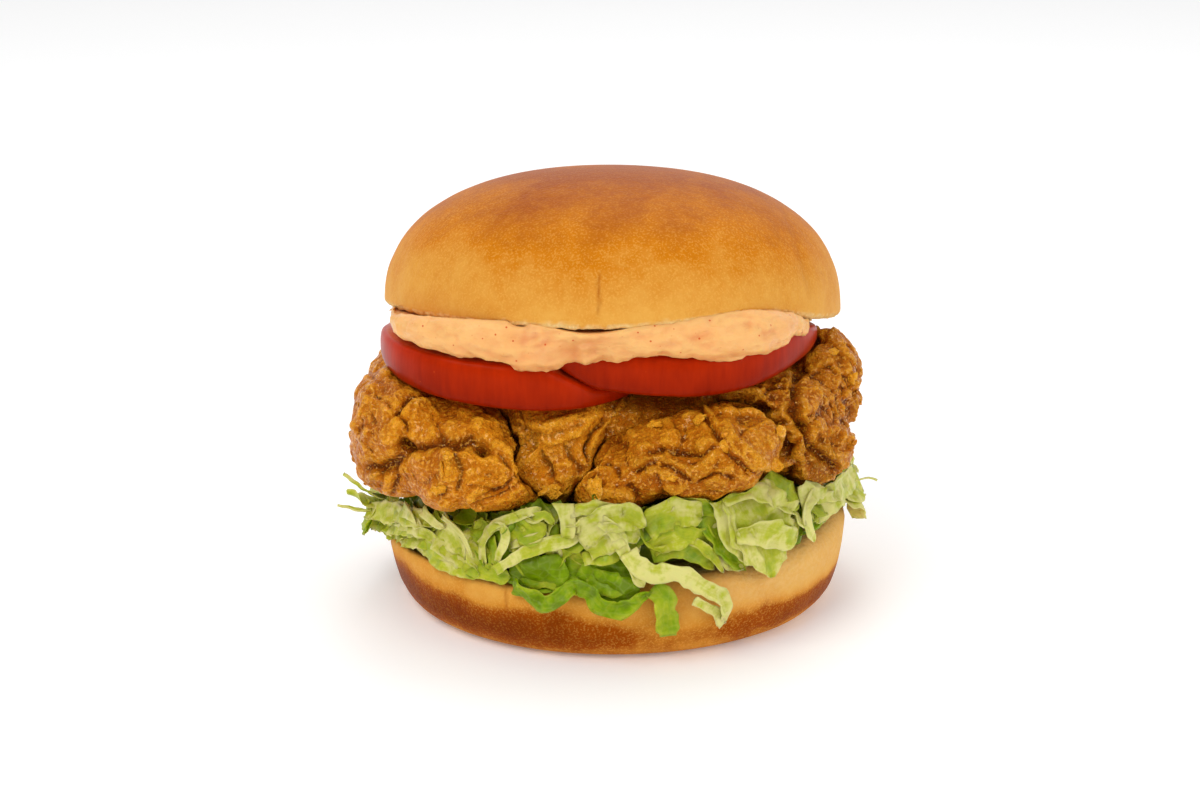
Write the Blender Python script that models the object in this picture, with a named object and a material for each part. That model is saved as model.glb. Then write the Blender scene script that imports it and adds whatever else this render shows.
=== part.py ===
"""Fried chicken burger: a soft bun with chicken pieces, tomato slices, pink sauce and shredded lettuce.

Metres, +Z up. The origin is the middle of the flat underside, and -Y is the front.
From the bottom up the layers are the heel of the bun, a heap of lettuce, four pieces of fried
chicken side by side, two overlapping tomato slices, the sauce and the crown of the bun. Each
layer stays a small gap clear of the next.
"""

import math
import random

import bmesh
import bpy
from mathutils import Euler, Matrix, Vector, noise

GAP = 0.0003

# The crown of the bun, a superellipse dome that leans back so that its front edge is lifted.
CROWN_RADIUS = 0.0548
CROWN_HEIGHT = 0.0340
CROWN_POWER = 2.4
CROWN_SEAT = 0.0712
CROWN_LEAN_BACK = math.radians(8.2)
CROWN_LEAN_SIDE = math.radians(1.6)
CROWN_LIP = 0.0012
CROWN_SLACK = 0.045
CROWN_LIFT = 0.0037
CROWN_LIFT_ANGLE = math.radians(-55.0)
CROWN_LIFT_SPREAD = math.radians(24.0)
CROWN_SEGMENTS = 60
CROWN_RINGS = 8

# The heel of the bun, cut thinner on the left than on the right, with a soft upper rim.
HEEL_RADIUS = 0.0566
HEEL_WIDER_RIGHT = 0.0015
HEEL_WIDER_FRONT = 0.0006
HEEL_FOOT_RADIUS = 0.0448
HEEL_HEIGHT = 0.0190
HEEL_SLOPE = 0.075
HEEL_POWER_OUT = 3.4
HEEL_POWER_UP = 2.2
HEEL_SEGMENTS = 56
HEEL_RINGS = 5

# The chicken lies between the top of the lettuce and the sauce.
CHICKEN_FLOOR = 0.0346
CHICKEN_FLOOR_SLOPE = 0.02
SAUCE_THIN = 0.0030
CRUST_VOXEL = 0.0016
CRUST_LUMP_SIZE = 0.0075
CRUST_CRAG_SIZE = 0.0032

# The tomato slices. The left one is cut as a wedge, and the right one lies partly on it.
LEFT_SLICE_CENTRE = Vector((-0.0215, -0.0150, 0.0))
LEFT_SLICE_RADIUS = 0.0340
LEFT_SLICE_UNDERSIDE = 0.0617
LEFT_SLICE_THICK = 0.0106
LEFT_SLICE_THIN = 0.0044
RIGHT_SLICE_CENTRE = Vector((0.0125, -0.0155, 0.0))
RIGHT_SLICE_RADIUS = 0.0353
RIGHT_SLICE_UNDERSIDE = 0.0656
RIGHT_SLICE_THICKNESS = 0.0092
SLICE_DROOP = 2.4
SLICE_CREST = -0.0120
SLICE_TAPER = 0.12
SLICE_TAPER_MOST = 0.0050
SLICE_SAUCE = 0.0016
SLICE_SEGMENTS = 38
SLICE_PROFILE = (
    (0.35, 0.0),
    (0.68, 0.0),
    (0.955, 0.0),
    (0.99, 0.10),
    (1.0, 0.45),
    (0.99, 0.88),
    (0.955, 1.0),
    (0.68, 1.0),
    (0.35, 1.0),
)

# The sauce fills the wedge between the tomatoes and the leaning crown, and its lip hangs over the
# front of the slices. The lip is given as heights at distances to the right of the middle.
SAUCE_CENTRE = Vector((-0.0040, -0.0120, 0.0))
SAUCE_OVERHANG = 0.0014
SAUCE_LIP = (
    (-0.060, 0.0705),
    (-0.049, 0.0727),
    (-0.042, 0.0724),
    (-0.028, 0.0708),
    (-0.0155, 0.0683),
    (-0.0085, 0.0699),
    (0.0045, 0.0720),
    (0.0145, 0.0726),
    (0.027, 0.0709),
    (0.040, 0.0725),
    (0.046, 0.0760),
)
SAUCE_SEGMENTS = 52

# The lettuce, a core with leaves and shreds fused to it.
LETTUCE_CORE_RADIUS = 0.0510
LEAF_THICKNESS = 0.0009
LEAF_START = 0.0440
LEAF_BEND = 0.0040
LEAF_SPACING = 0.0045
LEAF_SEED = 11

CROWN_TILT = Euler((-CROWN_LEAN_BACK, CROWN_LEAN_SIDE, 0.0)).to_matrix()


def clear_scene():
    """Empties the scene."""
    for item in list(bpy.data.objects):
        bpy.data.objects.remove(item, do_unlink=True)


def make_material(name, colour, roughness):
    """A Principled material of one colour."""
    made = bpy.data.materials.new(name)
    made.use_nodes = True
    shader = made.node_tree.nodes["Principled BSDF"]
    shader.inputs["Base Color"].default_value = (*colour, 1.0)
    shader.inputs["Roughness"].default_value = roughness
    shader.inputs["Metallic"].default_value = 0.0
    return made


def object_from(bm, name):
    """Turns a bmesh into a linked object and frees it."""
    mesh = bpy.data.meshes.new(name)
    bm.normal_update()
    bm.to_mesh(mesh)
    bm.free()
    made = bpy.data.objects.new(name, mesh)
    bpy.context.scene.collection.objects.link(made)
    return made


def dress(made, material, sharp_angle):
    """Gives an object its material and its smooth shading."""
    made.data.materials.clear()
    made.data.materials.append(material)
    made.data.shade_smooth()
    made.data.set_sharp_from_angle(angle=math.radians(sharp_angle))
    return made


def evaluated_mesh(source):
    """The mesh of an object with its modifiers applied."""
    bpy.context.view_layer.update()
    graph = bpy.context.evaluated_depsgraph_get()
    return bpy.data.meshes.new_from_object(source.evaluated_get(graph), depsgraph=graph)


def apply_modifiers(target):
    """Replaces an object's mesh with its evaluated one."""
    mesh = evaluated_mesh(target)
    target.modifiers.clear()
    target.data = mesh


def unevenness(point, size, salt):
    """Smooth noise from -1 to 1, with features of a given size."""
    return noise.noise(point / size + Vector((salt, -salt, 0.5 * salt)))


def smooth_max(first, second, softness=0.0012):
    """The larger of two heights, rounded where they cross."""
    return 0.5 * (first + second + math.hypot(first - second, softness))


def heel_reach(angle):
    """How far the heel reaches from the middle in a direction."""
    reach = HEEL_RADIUS + HEEL_WIDER_RIGHT * math.cos(angle) - HEEL_WIDER_FRONT * math.cos(2.0 * angle)
    return reach * bun_wobble(angle, 5.0)


def heel_top(x):
    """Height of the heel's cut face."""
    return HEEL_HEIGHT + HEEL_SLOPE * x


def crown_lift(angle, share):
    """How far the crown's lower edge is pushed up by the sauce at the right of the front."""
    off = math.remainder(angle - CROWN_LIFT_ANGLE, 2.0 * math.pi) / CROWN_LIFT_SPREAD
    inward = min(1.0, max(0.0, (share - 0.45) / 0.55))
    return CROWN_LIFT * math.exp(-off * off) * inward * inward


def crown_underside(x, y):
    """Height of the crown's cut face."""
    normal = CROWN_TILT @ Vector((0.0, 0.0, 1.0))
    level = CROWN_SEAT - (normal.x * x + normal.y * y) / normal.z
    local = CROWN_TILT.transposed() @ Vector((x, y, level - CROWN_SEAT))
    share = math.hypot(local.x, local.y) / CROWN_RADIUS
    return level + crown_lift(math.atan2(local.y, local.x), share)


def slice_droop(y):
    """How far the slices sag towards the front and the back."""
    return SLICE_DROOP * (y - SLICE_CREST) ** 2


def left_underside(x, y):
    """Height of the left slice's underside, which drops a little towards the right."""
    return LEFT_SLICE_UNDERSIDE - 0.05 * (x + 0.022) - slice_droop(y)


def left_top(x, y):
    """The left slice is thick at the front left and thin where the right slice presses on it."""
    share = min(1.0, max(0.0, (-0.007 - x) / 0.011))
    eased = share * share * (3.0 - 2.0 * share)
    thickness = LEFT_SLICE_THIN + (LEFT_SLICE_THICK - LEFT_SLICE_THIN) * eased - 0.1 * max(0.0, x + 0.007)
    thickness -= eased * min(SLICE_TAPER_MOST, SLICE_TAPER * max(0.0, y + 0.049))
    return left_underside(x, y) + thickness


def right_underside(x, y):
    """Height of the right slice's underside, which drapes over the left slice."""
    on_left = left_top(x, y) + 2.0 * GAP
    on_chicken = RIGHT_SLICE_UNDERSIDE + 1.5 * max(0.0, x - 0.020) ** 2 - slice_droop(y)
    return smooth_max(on_left, on_chicken) if x < 0.014 else on_chicken


def right_top(x, y):
    """The right slice is even, but thins where it climbs on the left one."""
    return right_underside(x, y) + RIGHT_SLICE_THICKNESS + 0.12 * min(0.0, x)


def sauce_lip(x):
    """Height of the sauce's lower edge, eased between its named heights."""
    for (left, low), (right, high) in zip(SAUCE_LIP, SAUCE_LIP[1:]):
        if x <= right:
            share = max(0.0, (x - left) / (right - left))
            return low + (high - low) * share * share * (3.0 - 2.0 * share)
    return SAUCE_LIP[-1][1]


def ring_solid(rings, low_pole, high_pole):
    """A closed bmesh from a stack of rings with the same number of points, and a pole at each end."""
    bm = bmesh.new()
    made = [[bm.verts.new(point) for point in ring] for ring in rings]
    low = bm.verts.new(low_pole)
    high = bm.verts.new(high_pole)
    count = len(made[0])
    for i in range(count):
        j = (i + 1) % count
        bm.faces.new((low, made[0][j], made[0][i]))
        bm.faces.new((high, made[-1][i], made[-1][j]))
        for below, above in zip(made, made[1:]):
            bm.faces.new((below[i], below[j], above[j], above[i]))
    return bm


def turn(profile, segments, place):
    """Rings of a turned profile, each point moved by place(angle, radius, height)."""
    angles = [2.0 * math.pi * i / segments for i in range(segments)]
    return [[place(angle, radius, height) for angle in angles] for radius, height in profile]


def bun_wobble(angle, salt):
    """How far from round a bun is, as a share of its radius."""
    around = Vector((math.cos(angle), math.sin(angle), salt))
    return 1.0 + 0.016 * noise.noise(around * 1.3) + 0.006 * noise.noise(around * 3.7)


def make_crown(material):
    """The domed top half of the bun, leaning back on the filling."""
    profile = [(0.45, 0.0), (0.72, 0.0), (0.88, 0.0), (1.0 - CROWN_LIP / CROWN_RADIUS, 0.0)]
    for i in range(CROWN_RINGS):
        rise = 0.5 * math.pi * (i + 0.35) / CROWN_RINGS
        profile.append((math.cos(rise) ** (2.0 / CROWN_POWER), math.sin(rise) ** (2.0 / CROWN_POWER)))

    def place(angle, share, level):
        reach = share * CROWN_RADIUS * bun_wobble(angle, 2.0)
        lift = crown_lift(angle, share)
        slack = 1.0 - CROWN_SLACK * share * (0.5 - 0.5 * math.cos(angle))
        height = lift + (CROWN_HEIGHT * slack - lift) * level
        return Vector((reach * math.cos(angle), reach * math.sin(angle), height))

    rings = turn(profile, CROWN_SEGMENTS, place)
    bm = ring_solid(rings, (0.0, 0.0, 0.0), (0.0, 0.0, CROWN_HEIGHT))
    crown = dress(object_from(bm, "bun_crown"), material, 50.0)
    crown.location = (0.0, 0.0, CROWN_SEAT)
    crown.rotation_euler = (-CROWN_LEAN_BACK, CROWN_LEAN_SIDE, 0.0)
    return crown


def make_heel(material):
    """The bottom half of the bun, flat underneath, with a sloping cut face on top."""
    profile = [(-0.5, 0.0), (0.0, 0.0)]
    for i in range(1, HEEL_RINGS + 1):
        share = math.radians(80.0) * i / HEEL_RINGS
        flare = math.sin(share) ** (2.0 / HEEL_POWER_OUT)
        profile.append((flare, 1.0 - math.cos(share) ** (2.0 / HEEL_POWER_UP)))
    profile += [(0.93, 0.94), (0.74, 1.0), (-0.6, 1.0)]

    def place(angle, flare, level):
        reach = HEEL_FOOT_RADIUS + flare * (heel_reach(angle) - HEEL_FOOT_RADIUS)
        if flare < 0.0:
            reach = HEEL_FOOT_RADIUS * (1.0 + flare)
        x = reach * math.cos(angle)
        return Vector((x, reach * math.sin(angle), level * heel_top(x)))

    rings = turn(profile, HEEL_SEGMENTS, place)
    bm = ring_solid(rings, (0.0, 0.0, 0.0), (0.0, 0.0, HEEL_HEIGHT))
    return dress(object_from(bm, "bun_heel"), material, 50.0)


def make_slice(name, centre, radius, underside, top, spare=0.0, deeper=0.0):
    """A tomato slice with a rounded skin edge. spare swells it on all sides, and deeper lowers its underside."""

    def place(angle, share, level):
        lobes = 1.0 + 0.012 * math.sin(5.0 * angle + 1.0) + 0.008 * math.sin(2.0 * angle + 0.6)
        reach = share * (radius * lobes + spare)
        x = centre.x + reach * math.cos(angle)
        y = centre.y + reach * math.sin(angle)
        low = underside(x, y) - spare - deeper
        high = min(top(x, y), crown_underside(x, y) - SLICE_SAUCE) + spare
        return Vector((x, y, low + (high - low) * level))

    rings = turn(SLICE_PROFILE, SLICE_SEGMENTS, place)
    low_pole = place(0.0, 0.0, 0.0)
    high_pole = place(0.0, 0.0, 1.0)
    return object_from(ring_solid(rings, low_pole, high_pole), name)


def left_slice(name, **more):
    """The left tomato slice, or a swollen copy of it to cut with."""
    return make_slice(name, LEFT_SLICE_CENTRE, LEFT_SLICE_RADIUS, left_underside, left_top, **more)


def right_slice(name, **more):
    """The right tomato slice, or a swollen copy of it to cut with."""
    return make_slice(name, RIGHT_SLICE_CENTRE, RIGHT_SLICE_RADIUS, right_underside, right_top, **more)


def keep_largest(mesh):
    """Drops the loose scraps of a mesh, keeping its largest piece."""
    bm = bmesh.new()
    bm.from_mesh(mesh)
    unseen = set(bm.verts)
    pieces = []
    while unseen:
        stack = [unseen.pop()]
        piece = set(stack)
        while stack:
            for edge in stack.pop().link_edges:
                for vert in edge.verts:
                    if vert in unseen:
                        unseen.discard(vert)
                        piece.add(vert)
                        stack.append(vert)
        pieces.append(piece)
    pieces.sort(key=len, reverse=True)
    scraps = [vert for piece in pieces[1:] for vert in piece]
    bmesh.ops.delete(bm, geom=scraps, context="VERTS")
    bm.to_mesh(mesh)
    bm.free()


def subtract(target, cutters):
    """Cuts each cutter out of the target and keeps the largest piece."""
    for cutter in cutters:
        modifier = target.modifiers.new("Cut " + cutter.name, "BOOLEAN")
        modifier.operation = "DIFFERENCE"
        modifier.solver = "EXACT"
        modifier.object = cutter
    apply_modifiers(target)
    keep_largest(target.data)


def rim_distance(angle, centre, radius):
    """How far a slice's rim is from the middle of the sauce in a direction, 0 if it isn't met."""
    away = SAUCE_CENTRE - centre
    along = away.x * math.cos(angle) + away.y * math.sin(angle)
    rest = along * along - away.length_squared + radius * radius
    return math.sqrt(rest) - along if rest > 0.0 else 0.0


def sauce_reach(angle):
    """The sauce reaches just past the slices at the front and stays inside them elsewhere."""
    rims = (
        rim_distance(angle, LEFT_SLICE_CENTRE, LEFT_SLICE_RADIUS),
        rim_distance(angle, RIGHT_SLICE_CENTRE, RIGHT_SLICE_RADIUS),
    )
    front = min(1.0, max(0.0, -1.7 * math.sin(angle)))
    return smooth_max(*rims, 0.006) - 0.0022 + front * (0.0022 + SAUCE_OVERHANG)


def make_sauce(material, cutters):
    """A thick, wavy bed of sauce from the tomatoes up to the crown, cut out where the slices are."""

    def place(angle, share, level):
        ripple = 1.0 + 0.012 * noise.noise(Vector((5.0 * math.cos(angle), 5.0 * math.sin(angle), 7.0)))
        x = SAUCE_CENTRE.x + share * ripple * sauce_reach(angle) * math.cos(angle)
        y = SAUCE_CENTRE.y + share * ripple * sauce_reach(angle) * math.sin(angle)
        high = crown_underside(x, y) - 1.5 * GAP
        thin = high - SAUCE_THIN + 2.5 * GAP
        low = min(thin, sauce_lip(x) + 0.02 * (y + 0.050))
        return Vector((x, y, low + (high - low) * level))

    profile = ((0.35, 0.0), (0.7, 0.0), (0.94, 0.0), (0.99, 0.22), (1.0, 0.5), (0.985, 0.8), (0.95, 1.0), (0.6, 1.0))
    rings = turn(profile, SAUCE_SEGMENTS, place)
    sauce = object_from(ring_solid(rings, place(0.0, 0.0, 0.0), place(0.0, 0.0, 1.0)), "sauce")
    subtract(sauce, cutters)
    return dress(sauce, material, 40.0)


# Each chicken piece is a few overlapping lumps (centre, half sizes, turn about the vertical and
# rise to the right, both in degrees), and planes (point, normal) that part it from its neighbours.
LEFT_MIDDLE_PLANE = (Vector((-0.0260, 0.0, 0.0500)), Vector((1.0, 0.05, 0.5)))
MIDDLE_FRONT_PLANE = (Vector((-0.0040, -0.0420, 0.0470)), Vector((1.0, -0.30, -0.65)))
FRONT_RIGHT_PLANE = (Vector((0.0380, -0.0420, 0.0500)), Vector((0.45, 1.0, 0.15)))
CHICKEN = {
    "chicken_left": {
        "lumps": (
            ((-0.0400, 0.0020, 0.0485), (0.0200, 0.0480, 0.0130), 4.0, 0.0),
            ((-0.0485, -0.0250, 0.0510), (0.0125, 0.0200, 0.0125), 0.0, 0.0),
            ((-0.0500, -0.0200, 0.0430), (0.0115, 0.0230, 0.0118), 0.0, 0.0),
            ((-0.0340, -0.0405, 0.0445), (0.0150, 0.0145, 0.0115), 12.0, 0.0),
            ((-0.0240, -0.0440, 0.0430), (0.0080, 0.0090, 0.0085), 0.0, 0.0),
        ),
        "below": (LEFT_MIDDLE_PLANE,),
        "beyond": (),
        "crag": 0.0011,
        "salt": 1.0,
    },
    "chicken_middle": {
        "lumps": (
            ((-0.0050, 0.0080, 0.0490), (0.0230, 0.0450, 0.0155), -3.0, 0.0),
            ((-0.0120, -0.0310, 0.0510), (0.0190, 0.0145, 0.0095), 0.0, 6.0),
            ((-0.0120, -0.0370, 0.0430), (0.0120, 0.0110, 0.0095), 0.0, 0.0),
        ),
        "below": (MIDDLE_FRONT_PLANE,),
        "beyond": (LEFT_MIDDLE_PLANE,),
        "crag": 0.0011,
        "salt": 2.0,
    },
    "chicken_front": {
        "lumps": (
            ((0.0225, -0.0440, 0.0478), (0.0170, 0.0140, 0.0098), 8.0, 14.0),
            ((0.0030, -0.0460, 0.0423), (0.0125, 0.0110, 0.0068), 0.0, 18.0),
            ((0.0130, -0.0440, 0.0463), (0.0140, 0.0130, 0.0088), 0.0, 16.0),
        ),
        "below": (FRONT_RIGHT_PLANE,),
        "beyond": (MIDDLE_FRONT_PLANE,),
        "crag": 0.0012,
        "salt": 3.0,
    },
    "chicken_right": {
        "lumps": (
            ((0.0370, 0.0000, 0.0495), (0.0190, 0.0480, 0.0145), -5.0, 0.0),
            ((0.0200, -0.0080, 0.0500), (0.0150, 0.0320, 0.0150), 6.0, 0.0),
            ((0.0350, -0.0300, 0.0520), (0.0160, 0.0150, 0.0118), 0.0, 0.0),
            ((0.0490, -0.0110, 0.0560), (0.0096, 0.0170, 0.0112), 0.0, 0.0),
            ((0.0470, -0.0250, 0.0450), (0.0090, 0.0130, 0.0105), 0.0, 0.0),
        ),
        "below": (),
        "beyond": (FRONT_RIGHT_PLANE, MIDDLE_FRONT_PLANE),
        "crag": 0.0017,
        "salt": 4.0,
    },
}
CHICKEN_TRIANGLES = {
    "chicken_left": 850,
    "chicken_middle": 500,
    "chicken_front": 620,
    "chicken_right": 960,
}


def lump_solid(bm, centre, half_sizes, turned, rise):
    """Adds an ellipsoid to a bmesh."""
    place = (
        Matrix.Translation(centre)
        @ Matrix.Rotation(math.radians(turned), 4, "Z")
        @ Matrix.Rotation(math.radians(-rise), 4, "Y")
        @ Matrix.Diagonal((*half_sizes, 1.0))
    )
    bmesh.ops.create_icosphere(bm, subdivisions=4, radius=1.0, matrix=place)


def craggy(point, crag, salt):
    """How far the crust stands out at a point: broad lumps with creases, and crags on them."""
    broad = 1.0 - 2.0 * abs(unevenness(point, CRUST_LUMP_SIZE, salt))
    fine = 0.5 - abs(unevenness(point, CRUST_CRAG_SIZE, salt + 9.0))
    return crag * (0.8 * broad + 0.7 * fine)


def cut_flat(bm, point, normal):
    """Cuts off what lies past a plane and closes the hole."""
    everything = bm.verts[:] + bm.edges[:] + bm.faces[:]
    bmesh.ops.bisect_plane(
        bm, geom=everything, plane_co=point, plane_no=normal, clear_outer=True, dist=1e-7
    )
    bmesh.ops.holes_fill(bm, edges=[edge for edge in bm.edges if edge.is_boundary], sides=0)


def make_chicken(name, spec, material, cutters):
    """One piece of fried chicken: lumps grown together, crusted, and pressed flat where it touches."""
    bm = bmesh.new()
    for centre, half_sizes, turned, rise in spec["lumps"]:
        lump_solid(bm, centre, half_sizes, turned, rise)
    piece = object_from(bm, name)
    grown = piece.modifiers.new("Grow together", "REMESH")
    grown.mode = "VOXEL"
    grown.voxel_size = CRUST_VOXEL
    eased = piece.modifiers.new("Ease the joins", "SMOOTH")
    eased.iterations = 6
    apply_modifiers(piece)

    for vert in piece.data.vertices:
        vert.co += vert.normal * craggy(vert.co, spec["crag"], spec["salt"])
    fewer = piece.modifiers.new("Fewer faces", "DECIMATE")
    fewer.ratio = CHICKEN_TRIANGLES[name] / (2.0 * len(piece.data.polygons))
    apply_modifiers(piece)

    bm = bmesh.new()
    bm.from_mesh(piece.data)
    for point, normal in spec["below"]:
        away = normal.normalized()
        cut_flat(bm, point - away * 0.5 * GAP, away)
    for point, normal in spec["beyond"]:
        away = -normal.normalized()
        cut_flat(bm, point - away * 0.5 * GAP, away)
    cut_flat(bm, Vector((0.0, 0.0, CHICKEN_FLOOR)), Vector((CHICKEN_FLOOR_SLOPE, 0.0, -1.0)).normalized())
    ceiling = Vector((0.0, 0.0, CROWN_SEAT - SAUCE_THIN))
    cut_flat(bm, ceiling, CROWN_TILT @ Vector((0.0, 0.0, 1.0)))
    bmesh.ops.triangulate(bm, faces=bm.faces)
    bm.to_mesh(piece.data)
    bm.free()
    subtract(piece, cutters)
    return dress(piece, material, 60.0)


# Leaves that show at the front, in degrees and millimetres: direction from +X, sideways drift,
# starting height, reach past the heel, height where the bend begins, turn of the bend (down is
# negative), tail after the bend, width, ruffle.
FRONT_LEAVES = (
    (184.0, 3.0, 29.0, 11.0, 29.0, 20.0, 3.0, 10.0, 1.2),
    (193.0, -4.0, 25.0, 12.5, 24.0, 10.0, 2.0, 7.0, 0.8),
    (200.0, 4.0, 30.0, 7.0, 24.0, -35.0, 2.0, 12.0, 1.6),
    (213.0, 5.0, 31.0, 5.0, 21.5, -55.0, 1.0, 13.0, 1.4),
    (224.0, -4.0, 28.0, 3.0, 21.0, -60.0, 0.5, 11.0, 1.0),
    (235.0, 3.0, 31.0, 2.2, 20.5, -80.0, 0.5, 11.0, 0.8),
    (244.5, 2.0, 26.0, 2.6, 20.5, 130.0, 2.0, 8.0, 0.8),
    (253.0, -8.0, 31.0, 2.6, 21.5, -60.0, 1.0, 8.0, 0.8),
    (258.0, 2.0, 33.0, 0.5, 29.0, -75.0, 3.0, 7.0, 0.8),
    (266.0, 0.0, 21.5, 2.0, 20.5, -90.0, 4.0, 38.0, 1.6),
    (268.0, 3.0, 33.0, 1.0, 27.0, -60.0, 2.0, 15.0, 2.0),
    (281.5, 1.0, 25.0, 3.2, 21.5, -90.0, 9.5, 7.0, 0.8),
    (277.0, 18.0, 26.0, 4.4, 23.5, -88.0, 8.0, 9.0, 1.0),
    (291.0, 0.0, 33.0, 0.5, 26.0, -60.0, 2.0, 16.0, 1.8),
    (306.0, 2.0, 33.5, 3.0, 27.0, -82.0, 5.0, 22.0, 1.6),
    (321.0, 2.0, 33.0, 1.0, 28.5, -70.0, 5.0, 5.0, 0.4),
    (334.0, 3.0, 32.0, 0.5, 29.0, 30.0, 2.0, 13.0, 1.8),
    (347.0, 3.0, 30.0, 4.0, 28.0, 60.0, 4.0, 12.0, 1.2),
    (356.0, 3.0, 28.0, 7.5, 28.0, 5.0, 2.0, 7.0, 0.8),
)
BACK_LEAF_COUNT = 14
BACK_LEAF_ANGLES = (4.0, 176.0)
MM = 0.001


def lowest_leaf(angle, width):
    """The lowest height at which a leaf clears the heel's cut face."""
    return heel_top(heel_reach(angle) * math.cos(angle)) + 0.5 * HEEL_SLOPE * width + 0.0018


def leaf_path(start, reach, height, turned, tail):
    """Points (radius, height) along a leaf: a slope out of the heap, a bend and a straight tail."""
    way = math.copysign(1.0, turned)
    swing = math.radians(abs(turned))
    corner = reach - LEAF_BEND
    run = math.hypot(corner - LEAF_START, height - start)
    arc = LEAF_BEND * swing
    count = max(4, round((run + arc + tail) / LEAF_SPACING))
    points = []
    for i in range(count + 1):
        along = (run + arc + tail) * i / count
        if along <= run:
            share = along / run
            points.append((LEAF_START + (corner - LEAF_START) * share, start + (height - start) * share))
            continue
        bent = min(along - run, arc) / LEAF_BEND
        rest = max(0.0, along - run - arc)
        radius = corner + LEAF_BEND * math.sin(bent) + rest * math.cos(bent)
        level = height + way * (LEAF_BEND * (1.0 - math.cos(bent)) + rest * math.sin(bent))
        points.append((radius, level))
    return points


def leaf_solid(angle, sway, path, width, ruffle, phase, outward_only):
    """A thin wavy leaf that follows the round of the burger, both faces split into triangles alike."""
    bm = bmesh.new()
    faces = {1.0: [], -1.0: []}
    last = len(path) - 1
    cells = 3 if width < 0.020 else 6
    for i, (radius, level) in enumerate(path):
        ahead = path[min(i + 1, last)]
        behind = path[max(i - 1, 0)]
        slope = Vector((ahead[0] - behind[0], ahead[1] - behind[1])).normalized()
        share = i / last
        half = 0.5 * width * (1.0 - 0.3 * share ** 4)
        for side in faces:
            row = []
            for j in range(cells + 1):
                offset = 2.0 * j / cells - 1.0
                around = angle + sway * (share - 0.5) + half * offset / max(radius, 0.045)
                wave = ruffle * (0.25 + share) * math.sin((2.4 + 90.0 * width) * offset + 6.0 * share + phase)
                if outward_only:
                    wave = max(wave, -0.2 * ruffle)
                shift = wave + 0.5 * side * LEAF_THICKNESS
                out = radius - slope.y * shift
                up = level + slope.x * shift
                row.append(bm.verts.new((out * math.cos(around), out * math.sin(around), up)))
            faces[side].append(row)
    for side, rows in faces.items():
        for i in range(last):
            for j in range(cells):
                corners = (rows[i][j], rows[i + 1][j], rows[i + 1][j + 1], rows[i][j + 1])
                bm.faces.new((corners[0], corners[1], corners[2])[:: int(side)])
                bm.faces.new((corners[0], corners[2], corners[3])[:: int(side)])
    border = [(i, 0) for i in range(last)]
    border += [(last, j) for j in range(cells)]
    border += [(i, cells) for i in range(last, 0, -1)]
    border += [(0, j) for j in range(cells, 0, -1)]
    for (i, j), (k, l) in zip(border, border[1:] + border[:1]):
        upper, lower = faces[1.0], faces[-1.0]
        bm.faces.new((upper[i][j], lower[i][j], lower[k][l]))
        bm.faces.new((upper[i][j], lower[k][l], upper[k][l]))
    bmesh.ops.recalc_face_normals(bm, faces=bm.faces)
    return bm


def all_leaves():
    """The front leaves as chosen, and the rest spread evenly round the back by a seeded rule."""
    draw = random.Random(LEAF_SEED)
    rows = list(FRONT_LEAVES)
    first, last = BACK_LEAF_ANGLES
    for i in range(BACK_LEAF_COUNT):
        angle = first + (last - first) * (i + 0.5 + draw.uniform(-0.25, 0.25)) / BACK_LEAF_COUNT
        kind = draw.choice(((2.6, 21.0, -85.0, 3.0), (1.0, 27.0, -50.0, 2.0), (5.0, 26.0, 15.0, 1.0)))
        past, height, turned, tail = kind
        start = draw.uniform(27.0, 32.0)
        rows.append(
            (
                angle,
                draw.uniform(-6.0, 6.0),
                start,
                past + draw.uniform(0.0, 1.5),
                height + draw.uniform(0.0, 2.0),
                turned,
                tail,
                draw.uniform(9.0, 17.0),
                draw.uniform(0.9, 1.8),
            )
        )
    leaves = []
    for i, (degrees, sway, start, past, height, turned, tail, width, ruffle) in enumerate(rows):
        angle = math.radians(degrees)
        reach = heel_reach(angle) + past * MM
        height = max(height * MM, lowest_leaf(angle, width * MM))
        path = leaf_path(start * MM, reach, height, turned, tail * MM)
        leaves.append((angle, math.radians(sway), path, width * MM, ruffle * MM, 1.7 * i, turned < -30.0))
    return leaves


def make_lettuce(material):
    """A low heap of lettuce: a rumpled core with leaves fused round its edge."""

    def place(angle, share, level):
        rumple = Vector((4.0 * math.cos(angle), 4.0 * math.sin(angle), 4.0 + 1.5 * level))
        bulge = 1.0 + 0.07 * noise.noise(rumple)
        x = share * bulge * LETTUCE_CORE_RADIUS * math.cos(angle)
        y = share * bulge * LETTUCE_CORE_RADIUS * math.sin(angle)
        low = heel_top(x) + GAP
        high = CHICKEN_FLOOR + CHICKEN_FLOOR_SLOPE * x - GAP
        return Vector((x, y, low + (high - low) * level))

    profile = ((0.55, 0.0), (0.97, 0.0), (1.02, 0.2), (1.0, 0.55), (0.96, 0.85), (0.9, 1.0), (0.5, 1.0))
    rings = turn(profile, 36, place)
    heap = object_from(ring_solid(rings, place(0.0, 0.0, 0.0), place(0.0, 0.0, 1.0)), "lettuce")
    loose = bpy.data.collections.new("Loose leaves")
    bpy.context.scene.collection.children.link(loose)
    for leaf in all_leaves():
        made = object_from(leaf_solid(*leaf), "leaf")
        bpy.context.scene.collection.objects.unlink(made)
        loose.objects.link(made)
    fuse = heap.modifiers.new("Fuse leaves", "BOOLEAN")
    fuse.operation = "UNION"
    fuse.operand_type = "COLLECTION"
    fuse.collection = loose
    fuse.solver = "EXACT"
    apply_modifiers(heap)
    for leaf in list(loose.objects):
        bpy.data.objects.remove(leaf, do_unlink=True)
    bpy.data.collections.remove(loose)
    keep_largest(heap.data)
    return dress(heap, material, 60.0)


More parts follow.
